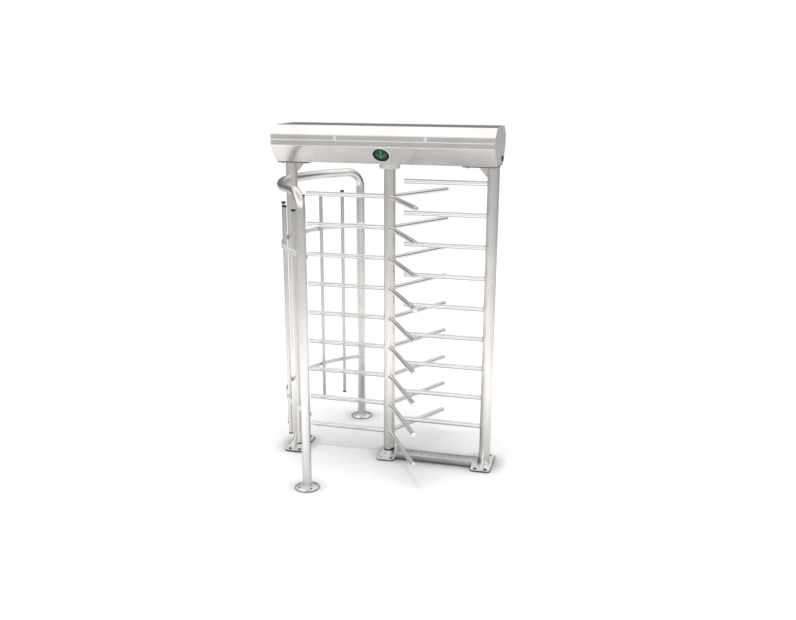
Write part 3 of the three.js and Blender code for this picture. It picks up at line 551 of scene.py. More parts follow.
# Foot plates with ribs and anchor bolts
footSizes = dict(
    width=0.134, depth=0.290, shift=0.012, thickness=0.010, corner=0.024, ribReach=0.102, ribHeight=0.112,
    ribThickness=0.009, ribNose=0.009, boltX=0.035, boltY=0.120, boltRadius=0.0095, boltHeight=0.0078)


def buildFeet(s):
    half, radius, top, t = postSizes["half"], postSizes["radius"], s.thickness, s.ribThickness / 2
    near, far = radius + 0.0003, radius + s.ribReach
    shape = [(near, top - 0.001), (far, top - 0.001), (far, top + s.ribNose),
             (near + s.ribNose, s.ribHeight), (near, s.ribHeight)]
    for side, name in leftRight:
        centre, middle = shifted(side * half, 0, 0), shifted(side * (half - s.shift), 0, 0)
        # the plate's sides take the dark edge finish: painted shade
        foot = Shell().add(prism(roundedOutline(s.width, s.depth, s.corner), 0, top), middle, edge=3)
        for face in (-1, 1):
            foot.add(loft([[(x, face * y, z) for y, z in shape] for x in (-t, t)]), centre)
            for x in (-t, t):
                foot.add(lineWeld((x, face * (near + 0.002), top), (x, face * far, top)), centre, 1)
                foot.add(lineWeld((x, face * near, top + 0.002), (x, face * near, s.ribHeight)), centre, 1)
        foot.add(ringWeld(radius + 0.0008, top), centre, 1)
        for corner in corners(s.boltX, s.boltY, top):
            foot.add(hexBolt(s.boltRadius, s.boltHeight), middle @ corner, 2)
        makePiece(name + "Foot", foot, [plateSteel, weldSteel, boltSteel, paintedShadeEdge],
                  "stand", [name + "_foot"], bevel=0.0005)


make("feet", footSizes, buildFeet)

# Rectangular tube on the floor. Over the foot plate it has neither its front wall nor its underside,
# and a skirt closes it there; skirt and end webs have the pale plate finish, painted light over the rail's shade
railSizes = dict(start=0.0603, end=0.6447, plateEdge=0.6037, width=0.090, height=0.044, shift=0.034,
                 wall=0.003, corner=0.005, past=0.010)


def buildRail(s):
    def ring(inset, x):
        corner = s.corner - min(inset, 0.002)
        outline = roundedOutline(s.width - 2 * inset, s.height - 2 * inset, corner, 5)
        return [(x, y - s.shift, z + s.height / 2) for y, z in outline]
    rail = Shell().add(loft([ring(0, s.start), ring(0, s.end), ring(s.wall, s.end), ring(s.wall, s.start)], loop=True))
    front, back, inset, past = -s.shift - s.width / 2, -s.shift + s.width / 2, s.wall + 0.0002, s.past
    top, foot = s.height - inset, footSizes["thickness"] + 0.0008
    # the webs that close the tube's ends have the pale plate finish: painted light on the tube's shaded inside
    for x in (s.start + 0.001, s.plateEdge - s.wall - 0.001):
        rail.add(box((x, front + inset, inset), (x + s.wall, back - inset, top)), finish=1)
    piece = makePiece("floorRail", rail, [railSteel, plateSteel], "stand", ["floor_rail"], bevel=0.0004)
    cutOut(piece, [box((s.plateEdge, front - past, -past), (s.end + past, y, z)) for y, z in
                   ((back + past, footSizes["thickness"] + 0.0003), (front + s.wall, s.height - s.wall))])
    near, far = s.plateEdge + 0.0005, s.end - 0.0005
    # the skirt has the pale plate finish: painted light where the plate lies in the rail's shade
    skirt = Shell().add(box((near, front + inset, foot), (far, front + inset + s.wall, top)))
    skirt.add(box((far - s.wall, front + inset + s.wall + 0.0002, foot), (far, back - inset, top)))
    makePiece("floorRailPaintedLightSkirt", skirt, [plateSteel], "stand", bevel=0.0004)


make("rail", railSizes, buildRail)

# Comb of fixed arms on the right post, one above each tier
combSizes = dict(start=0.098, radius=0.016)


def buildComb(s):
    half, radius = postSizes["half"], postSizes["radius"]
    for i in range(rotorSizes["tiers"]):
        height = rotorSizes["lowestArm"] + (i + 0.5) * rotorSizes["tierPitch"]
        lay = shifted(half, 0, height) @ turnedBy(180)
        arm = Shell().add(armTube(radius - 0.005, half - s.start, s.radius), lay @ turnedBy(90, "Y"))
        arm.add(saddleWeld(s.radius, radius + 0.0003), lay, 1)
        makePiece(f"combArm{i + 1}", arm, [armSteel, weldSteel],
                  "stand", [f"comb_arm_{i + 1}"], bevel=0)


make("comb", combSizes, buildComb)

# Cage: hoop, flanges, bars and bands
cageSizes = dict(
    hoopRadius=0.02985, legAngle=58.7, legRadius=0.7496, railRadius=0.705, bendRadius=0.115, railHeight=1.928,
    postGap=0.0003, flangeBore=0.0303, flangeRadius=0.0788, flangeRim=0.0056, flangeTop=0.015, flangeBolts=0.057,
    barRadius=0.0125, barFoot=0.239, barTop=1.804, barCircle=0.7005, barPitch=15.3, barsPerSide=3,
    capHeight=0.0115, footCap=0.009, capRadius=0.0150,
    bandInner=0.7133, bandThickness=0.006, bandHeight=0.030, bandHeights=(0.506, 1.537), bandEnd=0.016)


# Half the hoop runs up from a leg, over a bend and along the rail to the left post
def hoopRoute(s):
    angle = radians(s.legAngle)
    leg = Vector((-s.legRadius * cos(angle), s.legRadius * sin(angle)))
    tangent = atan2(leg.y, leg.x) + acos(s.railRadius / leg.length)
    meet = Vector((cos(tangent), sin(tangent))) * s.railRadius
    heading = (meet - leg).normalized()
    half = [Vector((*leg, 0)), Vector((*leg, 1.0))]
    for c, d in [(1.0, 0.0)] + quarterArc(18):
        flat = leg + heading * s.bendRadius * (1 - c)
        half.append(Vector((*flat, s.railHeight - s.bendRadius * (1 - d))))
    for i in range(28):
        a = tangent + (pi - tangent) * i / 28
        half.append(Vector((s.railRadius * cos(a), s.railRadius * sin(a), s.railHeight)))
    mirrored = [Vector((p.x, -p.y, p.z)) for p in reversed(half)]
    return leg, half + [Vector((-s.railRadius, 0, s.railHeight))] + mirrored


# Plan of a band as pairs of an inner and an outer point: on the bars' circle, and round the left post between
def bandPairs(s):
    def spot(radius, angle, shift=0):
        return Vector((-shift - radius * cos(angle), radius * sin(angle)))
    centre, reach = postSizes["half"], radians(s.legAngle) + s.bandEnd / s.bandInner
    circles = []
    for extra in (0, s.bandThickness):
        big, small = s.bandInner + extra, postSizes["radius"] + s.postGap + extra
        x = (centre ** 2 + big ** 2 - small ** 2) / (2 * centre)
        y = sqrt(big ** 2 - x ** 2)
        circles.append((big, small, asin(y / big), atan2(y, x - centre)))
    run = [[spot(big, reach + (near - reach) * k / 40) for big, small, near, far in circles] for k in range(41)]
    bend = [[spot(small, far * (1 - k / 6), centre) for big, small, near, far in circles] for k in range(1, 12)]
    return run + bend + [[Vector((p.x, -p.y)) for p in pair] for pair in reversed(run)]


def buildHoop(s):
    leg, route = hoopRoute(s)
    hoop = Shell().add(sweep(route, s.hoopRadius, 48))
    piece = makePiece("cageHoop", hoop, [postSteel], "stand", ["cage_hoop"], bevel=0)
    cope = rod(postSizes["radius"] + s.postGap, s.railHeight - 0.05, s.railHeight + 0.05, 72)
    cutOut(piece, [moved(cope, shifted(-postSizes["half"], 0, 0))])
    inner, outer, rim, top, sides = s.flangeBore, s.flangeRadius, s.flangeRim, s.flangeTop, 72
    dome = [(inner, 0), (outer, 0), (outer, rim - 0.0006), (outer - 0.0008, rim)]
    for i in range(1, 9):
        run = outer - 0.0012
        dome.append((run - (run - inner - 0.004) * i / 8, rim + (top - rim) * sin(i / 8 * quarterTurn)))
    for face, name in frontBack:
        spot = shifted(leg.x, face * leg.y, 0)
        flange = Shell().add(turned(dome + [(inner, top)], sides, loop=True), spot)
        # the flange's rim and its chamfer take the dark edge finish: painted shade
        flange.finish[sides:3 * sides] = [3] * (2 * sides)
        flange.add(ringWeld(inner + 0.0002, top - 0.0004), spot, 1)
        for x, y in circle(1, 4, quarterTurn / 2):
            lean = facing((s.flangeBolts * x, s.flangeBolts * y, 0.0102), (x * 0.32, y * 0.32, 1))
            flange.add(buttonBolt(0.0068, 0.0042), spot @ lean, 2)
        makePiece("cageFlange" + name.title(), flange, [flangeSteel, weldSteel, boltSteel, paintedShadeEdge],
                  "stand", ["cage_flange_" + name], bevel=0)


def buildBars(s):
    r, low, high, wide = s.barRadius, s.barFoot, s.barTop, s.capRadius
    cap = [(r * 0.9, 1), (r * 0.9, 0.92), (wide, 0.9), (wide, 0.35)]
    cap += [(wide - 0.003 * (1 - cos(t)), 0.35 * (1 - sin(t))) for t in (0.5, 1.0, quarterTurn)]
    for i in range(1, s.barsPerSide + 1):
        for face, name in reversed(frontBack):
            a = pi - face * radians(i * s.barPitch)
            spot = shifted(s.barCircle * cos(a), s.barCircle * sin(a), 0)
            bar = Shell().add(tube(r - 0.002, r, low + s.footCap, high - s.capHeight, 36, False), spot)
            for end, size in ((high, s.capHeight), (low, -s.footCap)):
                bar.add(turned([(radius, end - size * share) for radius, share in cap], 32), spot, 1)
            makePiece(f"cageBar{name.title()}{i}", bar, [barSteel, blackPlastic],
                      "stand", [f"cage_bar_{name}_{i}"], bevel=0)


def buildBands(s):
    half, lip, share = s.bandHeight / 2, 0.0012, 0.2
    section = [(0, lip - half), (share, -half), (1 - share, -half), (1, lip - half),
               (1, half - lip), (1 - share, half), (share, half), (0, half - lip)]
    for number, height in enumerate(s.bandHeights, 1):
        band = Shell().add(loft([[(*a.lerp(b, t), height + z) for t, z in section] for a, b in bandPairs(s)]))
        for i in range(1, s.barsPerSide + 1):
            for face in (-1, 1):
                a = face * radians(i * s.barPitch)
                spoke = Vector((-cos(a), sin(a), 0))
                spot = spoke * (s.bandInner + s.bandThickness) + Vector((0, 0, height))
                band.add(buttonBolt(0.0060, 0.0032), facing(spot, spoke), 1)
        makePiece(f"cageBand{number}", band, [bandSteel, brightBolt],
                  "stand", [f"cage_band_{number}"], bevel=0)


make("cage", cageSizes, buildHoop, buildBars, buildBands)

# Head: tray, lid, end caps, hinges, and the lock that sits in the right end cap
headSizes = dict(
    length=1.440, sheet=0.003, bottomHalf=0.172, lipHalf=0.266, bottom=2.064, lipFoot=2.176, split=2.207, lipTop=2.246,
    roofHalf=0.170, top=2.300, fold=0.007, hem=0.0045, stripWidth=0.018, stripHeight=0.0014, strips=(-0.290, 0.290),
    gap=0.0003, shaftHole=0.028, window=0.0519, indicatorShare=0.57, hingeX=0.400, hingeRoom=0.045, hingeY=0.2723,
    hingeRadius=0.006, hingeLeaf=0.0022, knuckle=0.026)
lockSizes = dict(y=0.091, z=2.096, face=0.7203, thickness=0.009, radius=0.018, barrel=0.011, hole=0.0113,
                 inside=0.683, camReach=0.040, keyway=0.0013)


# Frame on the slanted front or back sheet where the indicator sits, Z pointing out and Y up the slope
def indicatorPlace(s, face):
    across, up = s.lipHalf - s.bottomHalf, s.lipFoot - s.bottom
    slope = Vector((0, -across, up)).normalized()
    right = Vector((1, 0, 0))
    spot = Matrix((right, slope, right.cross(slope))).transposed().to_4x4()
    spot.translation = Vector((0, -(s.bottomHalf + across * s.indicatorShare), s.bottom + up * s.indicatorShare))
    return spot if face < 0 else turnedBy(180) @ spot


def buildTray(s):
    endX = s.length / 2 - s.sheet - s.gap
    line = bothSides([(-s.lipHalf, s.split - s.gap), (-s.lipHalf, s.lipFoot), (-s.bottomHalf, s.bottom)])
    tray = Shell().add(alongX(sheetOutline(filleted(line, s.fold), s.sheet), -endX, endX))
    piece = makePiece("headTray", tray, [sheetSteel], "stand", ["head_tray"], bevel=0.0005)
    window = rod(s.window, -0.016, 0.010, 72)
    cutOut(piece, [rod(s.shaftHole, s.bottom - 0.014, s.bottom + 0.016, 64)]
           + [moved(window, indicatorPlace(s, face)) for face in (-1, 1)])


def buildLid(s):
    endX, k, wall, split = s.length / 2 - s.sheet - s.gap, s.knuckle / 2, s.lipHalf, s.split
    line = bothSides([(wall, split), (wall, s.lipTop), (s.roofHalf, s.top)])
    lid = Shell().add(alongX(sheetOutline(filleted(line, s.fold), s.sheet), -endX, endX))
    around = [x + room for x in (-s.hingeX, s.hingeX) for room in (-s.hingeRoom, s.hingeRoom)]
    for side, stops in ((-1, [-endX, endX]), (1, [-endX, *around, endX])):
        angles = [radians(-90 + 15 * i) for i in range(13)]
        rim = [(side * (wall - 0.0008 + s.hem * cos(a)), split + s.hem + s.hem * sin(a)) for a in angles]
        for start, end in zip(stops[::2], stops[1::2]):
            lid.add(alongX(rim, start, end))
    for x in s.strips:
        for side in (-1, 1):
            line = [Vector((side * wall, split + 2 * s.hem)), Vector((side * wall, s.lipTop - s.fold))]
            outline = sheetOutline(line, -side * s.stripHeight)
            lid.add(alongX(outline, x - s.stripWidth / 2, x + s.stripWidth / 2), finish=1)
    for x in (-s.hingeX, s.hingeX):
        leaf = wall + s.hingeLeaf
        lid.add(tube(0.0033, s.hingeRadius, -k, k, 32), shifted(x, s.hingeY, split) @ turnedBy(90, "Y"), 2)
        lid.add(box((x - k, wall, split + 0.002), (x + k, leaf, split + 0.024)), finish=2)
        for dx in (-0.007, 0.007):
            lid.add(buttonBolt(0.0032, 0.0018), facing((x + dx, leaf, split + 0.016), (0, 1, 0)), 3)
    makePiece("roofLid", lid, [sheetSteel, plateSteel, machinedSteel, boltSteel],
              "lid", ["roof_lid"], bevel=0.0005)


def buildEndCaps(s):
    half = [(s.bottomHalf, s.bottom), (s.lipHalf, s.lipFoot), (s.lipHalf, s.lipTop), (s.roofHalf, s.top)]
    for side, name in leftRight:
        inside, outside = side * (s.length / 2 - s.sheet), side * s.length / 2
        cap = Shell().add(alongX(bothSides(half), min(inside, outside), max(inside, outside)))
        piece = makePiece(name + "EndCap", cap, [endCapSteel],
                          "stand", [name + "_end_cap"], bevel=0.0009)
        if side > 0:
            spot = shifted(outside, lockSizes["y"], lockSizes["z"]) @ turnedBy(90, "Y")
            cutOut(piece, [moved(rod(lockSizes["hole"], -0.01, 0.01, 40), spot)])


def buildHinges(s):
    r, k, gap, leaf = s.hingeRadius, s.knuckle, s.gap, s.lipHalf + s.hingeLeaf
    for side, name in leftRight:
        x = side * s.hingeX
        axis = shifted(x, s.hingeY, s.split) @ turnedBy(90, "Y")
        hinge = Shell()
        for low in (-1.5 * k - gap, 0.5 * k + gap):
            hinge.add(tube(r * 0.5, r, low, low + k, 32, False), axis)
        hinge.add(rod(0.003, -k, k, 24), axis)
        hinge.add(box((x - 1.5 * k - gap, s.lipHalf + gap, s.lipFoot + gap), (x + 1.5 * k + gap, leaf, s.split - r)))
        for dx in (-k, 0, k):
            hinge.add(buttonBolt(0.0035, 0.002), facing((x + dx, leaf, s.lipFoot + 0.012), (0, 1, 0)), 1)
        makePiece(name + "Hinge", hinge, [machinedSteel, boltSteel],
                  "stand", ["lid_hinge_" + name], bevel=0.0003)


make("head", headSizes, buildTray, buildLid, buildEndCaps, buildHinges)

# Indicators: steel ring, dark lens and a field of small lights with an arrow that points down; the unlit lights glow
# faintly, painted light
indicatorSizes = dict(
    lens=0.048, dome=0.003, depth=0.011, lip=0.006, ring=0.059, ringHeight=0.005, ringEdge=0.002,
    pitch=0.0086, dot=0.0031, litShare=1.25, dimShare=0.8, field=0.041,
    arrow=("....#....", "....#....", "....#....", "....#....", ".#..#..#.",
           "..#.#.#..", "...###...", "....#....", "........."))


def buildIndicators(s):
    inner, outer, high, low, sides = s.lens + 0.0003, s.ring, s.ringHeight, s.ringEdge, 96
    ring = [(inner, -0.008), (inner + 0.003, -0.008), (inner + 0.003, 0.0003), (outer, 0.0003), (outer, low)]
    ring += [(outer - (outer - inner - 0.003) * (1 - c), low + (high - low) * d) for c, d in quarterArc(8)]
    ring += [(inner + 0.001, high), (inner, high - 0.001)]
    lip = min(number for number, point in enumerate(ring) if number > 4 and point[0] < s.lens + s.lip) - 1
    profile = [(0.0005, -s.depth), (s.lens, -s.depth), (s.lens, 0)]
    profile += [(s.lens * (1 - t), s.dome * (1 - (1 - t) ** 2)) for t in (0.1, 0.25, 0.4, 0.6, 0.8, 0.985)]
    for face, name in frontBack:
        spot = indicatorPlace(SimpleNamespace(**headSizes), face)
        bezel = Shell().add(turned(ring, sides, loop=True), spot)
        bezel.finish[lip * sides:] = [1] * (len(bezel.finish) - lip * sides)
        makePiece("indicatorRing" + name.title(), bezel, [plateSteel, darkBezel],
                  "stand", ["indicator_bezel_" + name], bevel=0)
        lens = Shell().add(turned(profile, 72), spot)
        for row, marks in enumerate(s.arrow):
            for column, mark in enumerate(marks):
                x, y = (column - 4) * s.pitch, (4 - row) * s.pitch
                away = hypot(x, y)
                if away > s.field:
                    continue
                lit = mark == "#"
                r = s.dot * (s.litShare if lit else s.dimShare)
                bead = [(r, -0.001), (r, 0.0002), (r * 0.8, 0.0008), (r * 0.4, 0.0011), (r * 0.05, 0.0012)]
                lens.add(turned(bead, 16), spot @ shifted(x, y, s.dome * (1 - (away / s.lens) ** 2)), 1 if lit else 2)
        makePiece("indicatorLens" + name.title(), lens, [darkLens, ledLit, ledUnlitGlow],
                  "stand", ["indicator_lens_" + name], bevel=0)


make("indicators", indicatorSizes, buildIndicators)


def buildLock(s):
    face, high, r, slot = s.face, s.face + s.thickness, s.radius, s.face + s.thickness * 0.72
    lock = Shell().add(turned([
        (0.0005, s.inside), (s.barrel, s.inside), (s.barrel, face), (r, face), (r, face + s.thickness * 0.55),
        (r - 0.0016, high), (0.0125, high), (0.0118, slot), (0.0005, slot)], 56),
        shifted(0, s.y, s.z) @ turnedBy(90, "Y"))
    lock.add(box((s.inside, s.y - 0.007, s.z), (s.inside + 0.003, s.y + 0.007, s.z + s.camReach)), finish=1)
    piece = makePiece("keyLock", lock, [blackPlastic, zincPlate], "lock", ["key_lock"], bevel=0.0003)
    cutOut(piece, [box((face + 0.0008, s.y - s.keyway, s.z - 0.005), (high + 0.002, s.y + s.keyway, s.z + 0.005))])


make("lock", lockSizes, buildLock)

# Mechanism on the tray
mechanismSizes = dict(
    housingRadius=0.0685, housingFoot=2.0210, housingTop=2.0637, housingWall=0.005, housingBolts=0.052, bore=0.0313,
    shaftBore=0.0203, raceFoot=2.0263, raceTop=2.0563, innerRace=0.0245, outerRace=(0.0270, 0.0310),
    discFoot=2.076, discRadius=0.075, discThickness=0.010, discBolts=0.038, notchWidth=0.042, notchDepth=0.012, stops=6,
    hub=0.025, hubFoot=2.0566, gearFoot=2.096, gearThickness=0.012, gearHole=0.014, gearHoles=0.052,
    gearTeeth=36, pinionTeeth=12, module=0.005, pinionX=0.120, floor=2.0673, damperRadius=0.035, damperHeight=0.026,
    pawlX=-0.104, pawlY=0.070, tipX=-0.081, tipY=0.006, tipWidth=0.008, pin=0.005, pinHole=0.0053, eye=0.012,
    bracketX=-0.126, bracketWidth=0.072, bracketDepth=0.200, bracketThickness=0.004,
    magnetX=-0.140, magnetY=0.032, magnetRadius=0.015, magnetLength=0.030, magnetRise=0.014, turns=16)


def gearOutline(teeth, module, phase):
    tall, middle, step = module * 1.6, module * teeth / 2 - 0.0003, fullTurn / teeth
    root, tip = middle - tall / 2, middle + tall / 2
    points = []
    for i in range(teeth):
        for radius, offset in ((root, -0.28), (tip, -0.12), (tip, 0.12), (root, 0.28)):
            a = phase + (i + offset) * step
            points.append((radius * cos(a), radius * sin(a)))
    return points


def discOutline(s):
    r, half, points = s.discRadius, s.notchWidth / 2, []
    opening, shoulder = asin(half / r), sqrt(r * r - half * half)
    span = fullTurn / s.stops - 2 * opening
    for k in range(s.stops):
        centre = pi + fullTurn * k / s.stops
        turn = Matrix.Rotation(centre, 2)
        for x, y in ((shoulder, -half), (r - s.notchDepth, -half), (r - s.notchDepth, half), (shoulder, half)):
            points.append(tuple(turn @ Vector((x, y))))
        angles = [centre + opening + span * i / 10 for i in range(1, 10)]
        points += [(r * cos(a), r * sin(a)) for a in angles]
    return points


def buildBearing(s):
    foot, top, wall, ledge = s.housingFoot, s.housingTop, s.housingWall, s.bore - 0.004
    housing = Shell().add(turned([
        (ledge, foot), (s.housingRadius - wall, foot), (s.housingRadius, foot + wall), (s.housingRadius, top),
        (s.bore, top), (s.bore, foot + wall), (ledge, foot + wall)], 80, loop=True))
    for x, y in circle(s.housingBolts, 6, pi / 6):
        housing.add(buttonBolt(0.005, 0.0035), shifted(x, y, foot) @ turnedBy(180, "X"), 1)
    makePiece("bearingHousing", housing, [plateSteel, boltSteel], "stand", ["bearing_housing"])
    low, high = s.raceFoot, s.raceTop
    race = Shell().add(tube(s.shaftBore, s.innerRace, low, high, 56)).add(tube(*s.outerRace, low, high, 56))
    race.add(tube(s.innerRace, s.outerRace[0], low + 0.002, high - 0.001, 56), finish=1)
    makePiece("topBearing", race, [machinedSteel, blackPlastic],
              "stand", ["top_bearing"], bevel=0.0003)


def buildDrive(s):
    disc = Shell().add(prism(discOutline(s), s.discFoot, s.discFoot + s.discThickness))
    disc.add(tube(s.shaftBore, s.hub, s.hubFoot, s.gearFoot - 0.0003, 56))
    for x, y in circle(s.discBolts, 6, pi / 6):
        disc.add(hexBolt(0.0045, 0.004), shifted(x, y, s.discFoot + s.discThickness), 1)
    makePiece("lockDisc", disc, [machinedSteel, boltSteel], "rotor", ["lock_disc"])

    low, high = s.gearFoot, s.gearFoot + s.gearThickness
    gear = Shell().add(prism(gearOutline(s.gearTeeth, s.module, 0), low, high))
    piece = makePiece("driveGear", gear, [machinedSteel], "rotor", ["drive_gear"], bevel=0.0004)
    holes = [moved(rod(s.gearHole, -0.01, 0.03, 40), shifted(x, y, low)) for x, y in circle(s.gearHoles, 6)]
    cutOut(piece, [rod(s.shaftBore, low - 0.01, low + 0.03, 56)] + holes)

    centre = shifted(s.pinionX, 0, 0)
    outline = gearOutline(s.pinionTeeth, s.module, pi + pi / s.pinionTeeth)
    foot = s.floor + 0.0063
    pinion = Shell().add(prism(outline, low, high), centre)
    pinion.add(turned([(0.004, foot), (0.008, foot), (0.008, low + 0.015), (0.0068, low + 0.0162)], 40), centre)
    makePiece("damperPinion", pinion, [machinedSteel],
              "damper_wheel", ["damper_pinion"], bevel=0.0004)

    r, foot, top = s.damperRadius, s.floor, s.floor + s.damperHeight
    profile = [(0.0083, top - 0.020), (0.0005, top - 0.020), (0.0005, foot), (r, foot), (r, foot + 0.004)]
    for k in range(4):
        z = foot + 0.006 + k * 0.0042
        profile += [(r - 0.0018, z), (r - 0.0018, z + 0.0012), (r, z + 0.0016), (r, z + 0.0030)]
    profile += [(r, top - 0.0012), (r - 0.0012, top), (0.0083, top)]
    damper = Shell().add(turned(profile, 64, loop=True), centre)
    for x, y in circle(0.026, 4, quarterTurn / 2):
        damper.add(buttonBolt(0.0036, 0.0024), shifted(s.pinionX + x, y, top - 0.0002), 1)
    makePiece("damperBody", damper, [greyEnamel, boltSteel], "stand", ["damper_body"], bevel=0)


def buildPawls(s):
    half, foot = s.tipWidth / 2, s.discFoot
    arm = [(s.pawlX - s.pin, s.pawlY), (s.tipX - 2 * s.tipWidth, s.tipY), (s.tipX, s.tipY - half),
           (s.tipX, s.tipY + half), (s.tipX - s.tipWidth, s.tipY + 3 * half), (s.pawlX + 2 * s.pin, s.pawlY)]
    for face, name in frontBack:
        pawl = Shell().add(prism([(x, face * y) for x, y in arm], foot + 0.0002, foot + 0.0098))
        pawl.add(tube(s.pinHole, s.eye, foot, foot + 0.010, 40), shifted(s.pawlX, face * s.pawlY, 0))
        piece = makePiece("lockPawl" + name.title(), pawl, [machinedSteel],
                          "pawl_" + name, ["lock_pawl_" + name], bevel=0.0005)
        cutOut(piece, [moved(rod(s.pinHole, -0.01, 0.03, 32), shifted(s.pawlX, face * s.pawlY, foot))])


def buildBracket(s):
    x, foot, top = s.bracketX, s.floor, s.floor + s.bracketThickness
    pawlFoot, r, half = s.discFoot, s.magnetRadius, s.magnetLength / 2
    bracket = Shell().add(prism(roundedOutline(s.bracketWidth, s.bracketDepth, 0.005, 5), foot, top), shifted(x, 0, 0))
    winding = [(r * 0.8, -half + 0.002)]
    for k in range(s.turns):
        z = -half + 0.0035 + k * 0.00148
        winding += [(r * 0.84, z), (r * 0.88, z + 0.0005), (r * 0.88, z + 0.0009)]
    winding += [(r * 0.8, half - 0.002)]
    for face in (-1, 1):
        bracket.add(turned([
            (s.eye, foot + 0.001), (s.eye, pawlFoot - 0.0003), (s.pin, pawlFoot - 0.0003), (s.pin, pawlFoot + 0.0130),
            (s.pin - 0.001, pawlFoot + 0.0140)], 40), shifted(s.pawlX, face * s.pawlY, 0))
        axis = shifted(s.magnetX, face * s.magnetY, top + s.magnetRise) @ turnedBy(90, "Y")
        for end in (-half, half - 0.003):
            bracket.add(tube(r * 0.4, r, end, end + 0.003, 40, False), axis, 2)
        bracket.add(turned(winding, 40), axis, 1)
        bracket.add(box((s.magnetX - 0.0075, face * s.magnetY - 0.0075, foot + 0.001),
                        (s.magnetX + 0.0075, face * s.magnetY + 0.0075, foot + 0.008)))
        for dx in (-0.026, 0.012):
            bracket.add(hexBolt(0.0045, 0.004), shifted(x + dx, face * 0.090, top), 3)
    makePiece("lockBracket", bracket, [zincPlate, copperWire, blackPlastic, boltSteel],
              "stand", ["lock_bracket"], bevel=0.0003)


make("mechanism", mechanismSizes, buildBearing, buildDrive, buildPawls, buildBracket)

# Control box and power supply inside the head
casesSizes = dict(
    floor=mechanismSizes["floor"], controlX=-0.430, controlSize=(0.190, 0.220, 0.074), controlCorner=0.008,
    boltInset=0.014, supplyX=0.420, supplySize=(0.150, 0.110, 0.062), supplyCorner=0.004, vents=9, ventInset=0.020)


def buildCases(s):
    foot, middle, (width, depth, height) = s.floor, shifted(s.controlX, 0, 0), s.controlSize
    case = Shell()
    for inset, low, high, finish in ((0.002, 0, 0.7, 0), (0.005, 0.68, 0.74, 1), (0, 0.72, 1, 0)):
        outline = roundedOutline(width - inset, depth - inset, s.controlCorner)
        case.add(prism(outline, foot + height * low, foot + height * high), middle, finish)
    for corner in corners(width / 2 - s.boltInset, depth / 2 - s.boltInset, foot + height - 0.0014):
        case.add(buttonBolt(0.0042, 0.0014), middle @ corner, 2)
    makePiece("controlBox", case, [greyCase, blackPlastic, boltSteel],
              "stand", ["control_box"], bevel=0.0012, segments=3)
    width, depth, height = s.supplySize
    top = foot + height
    supply = Shell().add(prism(roundedOutline(width, depth, s.supplyCorner), foot, top), shifted(s.supplyX, 0, 0))
    piece = makePiece("powerSupply", supply, [greyCase], "stand", ["power_supply"], bevel=0.0007)
    first, pitch = s.supplyX - width / 2 + s.ventInset, (width - 2 * s.ventInset) / (s.vents - 1)
    cutOut(piece, [box((x - 0.0016, -depth * 0.34, top - 0.004), (x + 0.0016, depth * 0.34, top + 0.002))
                   for x in (first + k * pitch for k in range(s.vents))])


make("cases", casesSizes, buildCases)

# Pale floor, white studio and one soft lamp over the object
studio = dict(
    floorReach=40, floorDrop=0.0004, floorColor=0.92, mirrored=0.72, contactReach=0.16, contactDepth=2.4,
    glowNear=0.12, glowFar=0.64, glowStart=0.9, glowEnd=7.0, poolBehind=0.20, poolSide=0.40, poolFront=0.52,
    poolStops=((0.0, 0.0), (0.07, 0.15), (0.20, 1.3), (0.55, 1.0), (0.85, 0.45)), poolReach=12.0,
    background=1.0, soft=0.45, brightest=1.4,
    front=((0.0, 0.42), (0.16, 0.44), (0.36, 0.95), (0.62, 0.95), (0.84, 0.55), (1.0, 0.50)),
    behind=((0.0, 0.10), (0.28, 0.16), (0.44, 0.40), (0.56, 0.60),
            (0.70, 0.64), (0.83, 1.0), (0.93, 1.0), (1.0, 0.70)),
    lampAt=(0.05, -0.3, 5.2), lampAim=(0.05, 0.1, 0), lampSize=(3.2, 2.4), lampPower=280)


def calc(tree, operation, *values):
    node = tree.nodes.new("ShaderNodeMath")
    node.operation = operation
    return fill(tree, node, dict(enumerate(values))).outputs["Value"]


def eased(tree, source, start, end, low, high):
    return ranged(tree, source, low, high, start, end, "SMOOTHSTEP")


def stepped(tree, source, stops):
    return ramped(tree, source, [(place, (value,) * 3) for place, value in stops], "EASE")


def blended(tree, share, first, second):
    rest = calc(tree, "SUBTRACT", 1.0, share)
    return calc(tree, "ADD", calc(tree, "MULTIPLY", rest, first), calc(tree, "MULTIPLY", share, second))


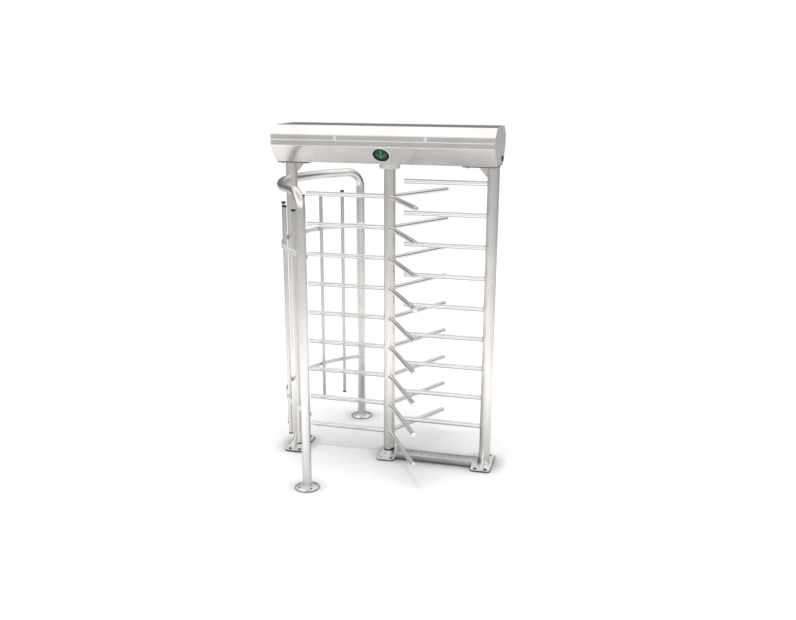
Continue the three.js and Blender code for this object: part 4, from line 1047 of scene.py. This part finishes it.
# The floor darkens close to what stands on it, a painted contact shade; it glows only for the camera and for
# reflections, and reflections see it darker, a painted reflection
def buildFloor(s):
    r = s.floorReach
    mesh = bpy.data.meshes.new("floor")
    mesh.from_pydata([(-r, -r, 0), (r, -r, 0), (r, r, 0), (-r, r, 0)], [], [(0, 1, 2, 3)])
    floor = newObject("floor", mesh)
    floor.location.z = -s.floorDrop
    material = bpy.data.materials.new("paleFloor")
    material.use_nodes = True
    tree = material.node_tree
    tree.nodes.remove(tree.nodes["Principled BSDF"])
    path = addNode(tree, "LightPath").outputs
    # painted contact shade: ambient occlusion darkens the floor's colour and its camera glow near what stands on it
    paintedShade = addNode(tree, "AmbientOcclusion", {"Distance": s.contactReach})
    paintedShade.samples = 16
    paintedShadeFactor = calc(tree, "POWER", paintedShade.outputs["AO"], s.contactDepth)
    # reflections see the floor darker than the camera does: a painted reflection
    tone = blended(tree, path["Is Glossy Ray"], s.floorColor, s.floorColor * s.mirrored)
    place = addNode(tree, "TexCoord").outputs["Object"]
    away = tree.nodes.new("ShaderNodeVectorMath")
    away.operation = "LENGTH"
    distance = fill(tree, away, {0: place}).outputs["Value"]
    seen = eased(tree, distance, s.glowStart, s.glowEnd, s.glowNear, s.glowFar)
    aim = calc(tree, "DIVIDE", addNode(tree, "SeparateXYZ", {"Vector": place}).outputs["Y"], distance)
    side = eased(tree, aim, -0.9, 0.1, s.poolFront, s.poolSide)
    back = eased(tree, aim, 0.1, 0.9, 0.0, s.poolBehind - s.poolSide)
    ring = stepped(tree, calc(tree, "DIVIDE", distance, s.poolReach), s.poolStops)
    pool = calc(tree, "MULTIPLY", calc(tree, "ADD", side, back), ring)
    strength = calc(tree, "ADD", calc(tree, "MULTIPLY", path["Is Camera Ray"], calc(tree, "MULTIPLY", seen, paintedShadeFactor)),
                    calc(tree, "MULTIPLY", path["Is Glossy Ray"], pool))
    diffuse = addNode(tree, "BsdfDiffuse", {"Color": calc(tree, "MULTIPLY", tone, paintedShadeFactor)})
    glow = addNode(tree, "Emission", {"Strength": strength})
    both = addNode(tree, "AddShader", {0: diffuse.outputs["BSDF"], 1: glow.outputs["Emission"]})
    fill(tree, tree.nodes["Material Output"], {"Surface": both.outputs["Shader"]})
    mesh.materials.append(material)


# World: white for the camera, soft for plain light, and light and dark bands for reflections
def buildStudio(s):
    world = bpy.data.worlds.new("studio")
    bpy.context.scene.world = world
    world.use_nodes = True
    tree = world.node_tree
    path = addNode(tree, "LightPath").outputs
    place = addNode(tree, "TexCoord").outputs["Generated"]
    split = addNode(tree, "SeparateXYZ", {"Vector": place}).outputs
    turn = eased(tree, split["Y"], -0.25, 0.35, 0.0, 1.0)
    bands = [stepped(tree, split["Z"], stops) for stops in (s.front, s.behind)]
    mirror = calc(tree, "MULTIPLY", blended(tree, turn, *bands), s.brightest)
    light = blended(tree, path["Is Glossy Ray"], s.soft, mirror)
    fill(tree, tree.nodes["Background"], {
        "Color": (1, 1, 1, 1), "Strength": blended(tree, path["Is Camera Ray"], light, s.background)})
    lamp = bpy.data.lights.new("topSoftbox", "AREA")
    lamp.shape = "RECTANGLE"
    lamp.size, lamp.size_y = s.lampSize
    lamp.energy = s.lampPower
    holder = newObject("topSoftbox", lamp)
    holder.location = s.lampAt
    holder.rotation_euler = (Vector(s.lampAim) - Vector(s.lampAt)).to_track_quat("-Z", "Y").to_euler()
    holder.visible_glossy = False


# Camera at the photograph's angle
cameraSizes = dict(at=(1.3844, -5.4195, 2.5683), pitch=15.07, yaw=13.737, roll=0.28, lens=38.32, sensor=36)


def buildCamera(s):
    pitch, yaw, roll = (radians(angle) for angle in (s.pitch, s.yaw, s.roll))
    ahead = Vector((-sin(yaw) * cos(pitch), cos(yaw) * cos(pitch), -sin(pitch)))
    right = Vector((cos(yaw), sin(yaw), 0))
    up = right.cross(ahead)
    x = right * cos(roll) + up * sin(roll)
    y = up * cos(roll) - right * sin(roll)
    camera = bpy.data.cameras.new("photoCamera")
    camera.lens, camera.sensor_width, camera.sensor_fit = s.lens, s.sensor, "HORIZONTAL"
    holder = newObject("photoCamera", camera)
    place = Matrix((x, y, -ahead)).transposed().to_4x4()
    place.translation = Vector(s.at)
    holder.matrix_world = place
    bpy.context.scene.camera = holder


make("studio", studio, buildFloor, buildStudio)
make("camera", cameraSizes, buildCamera)
bpy.context.scene.view_settings.view_transform = "Standard"
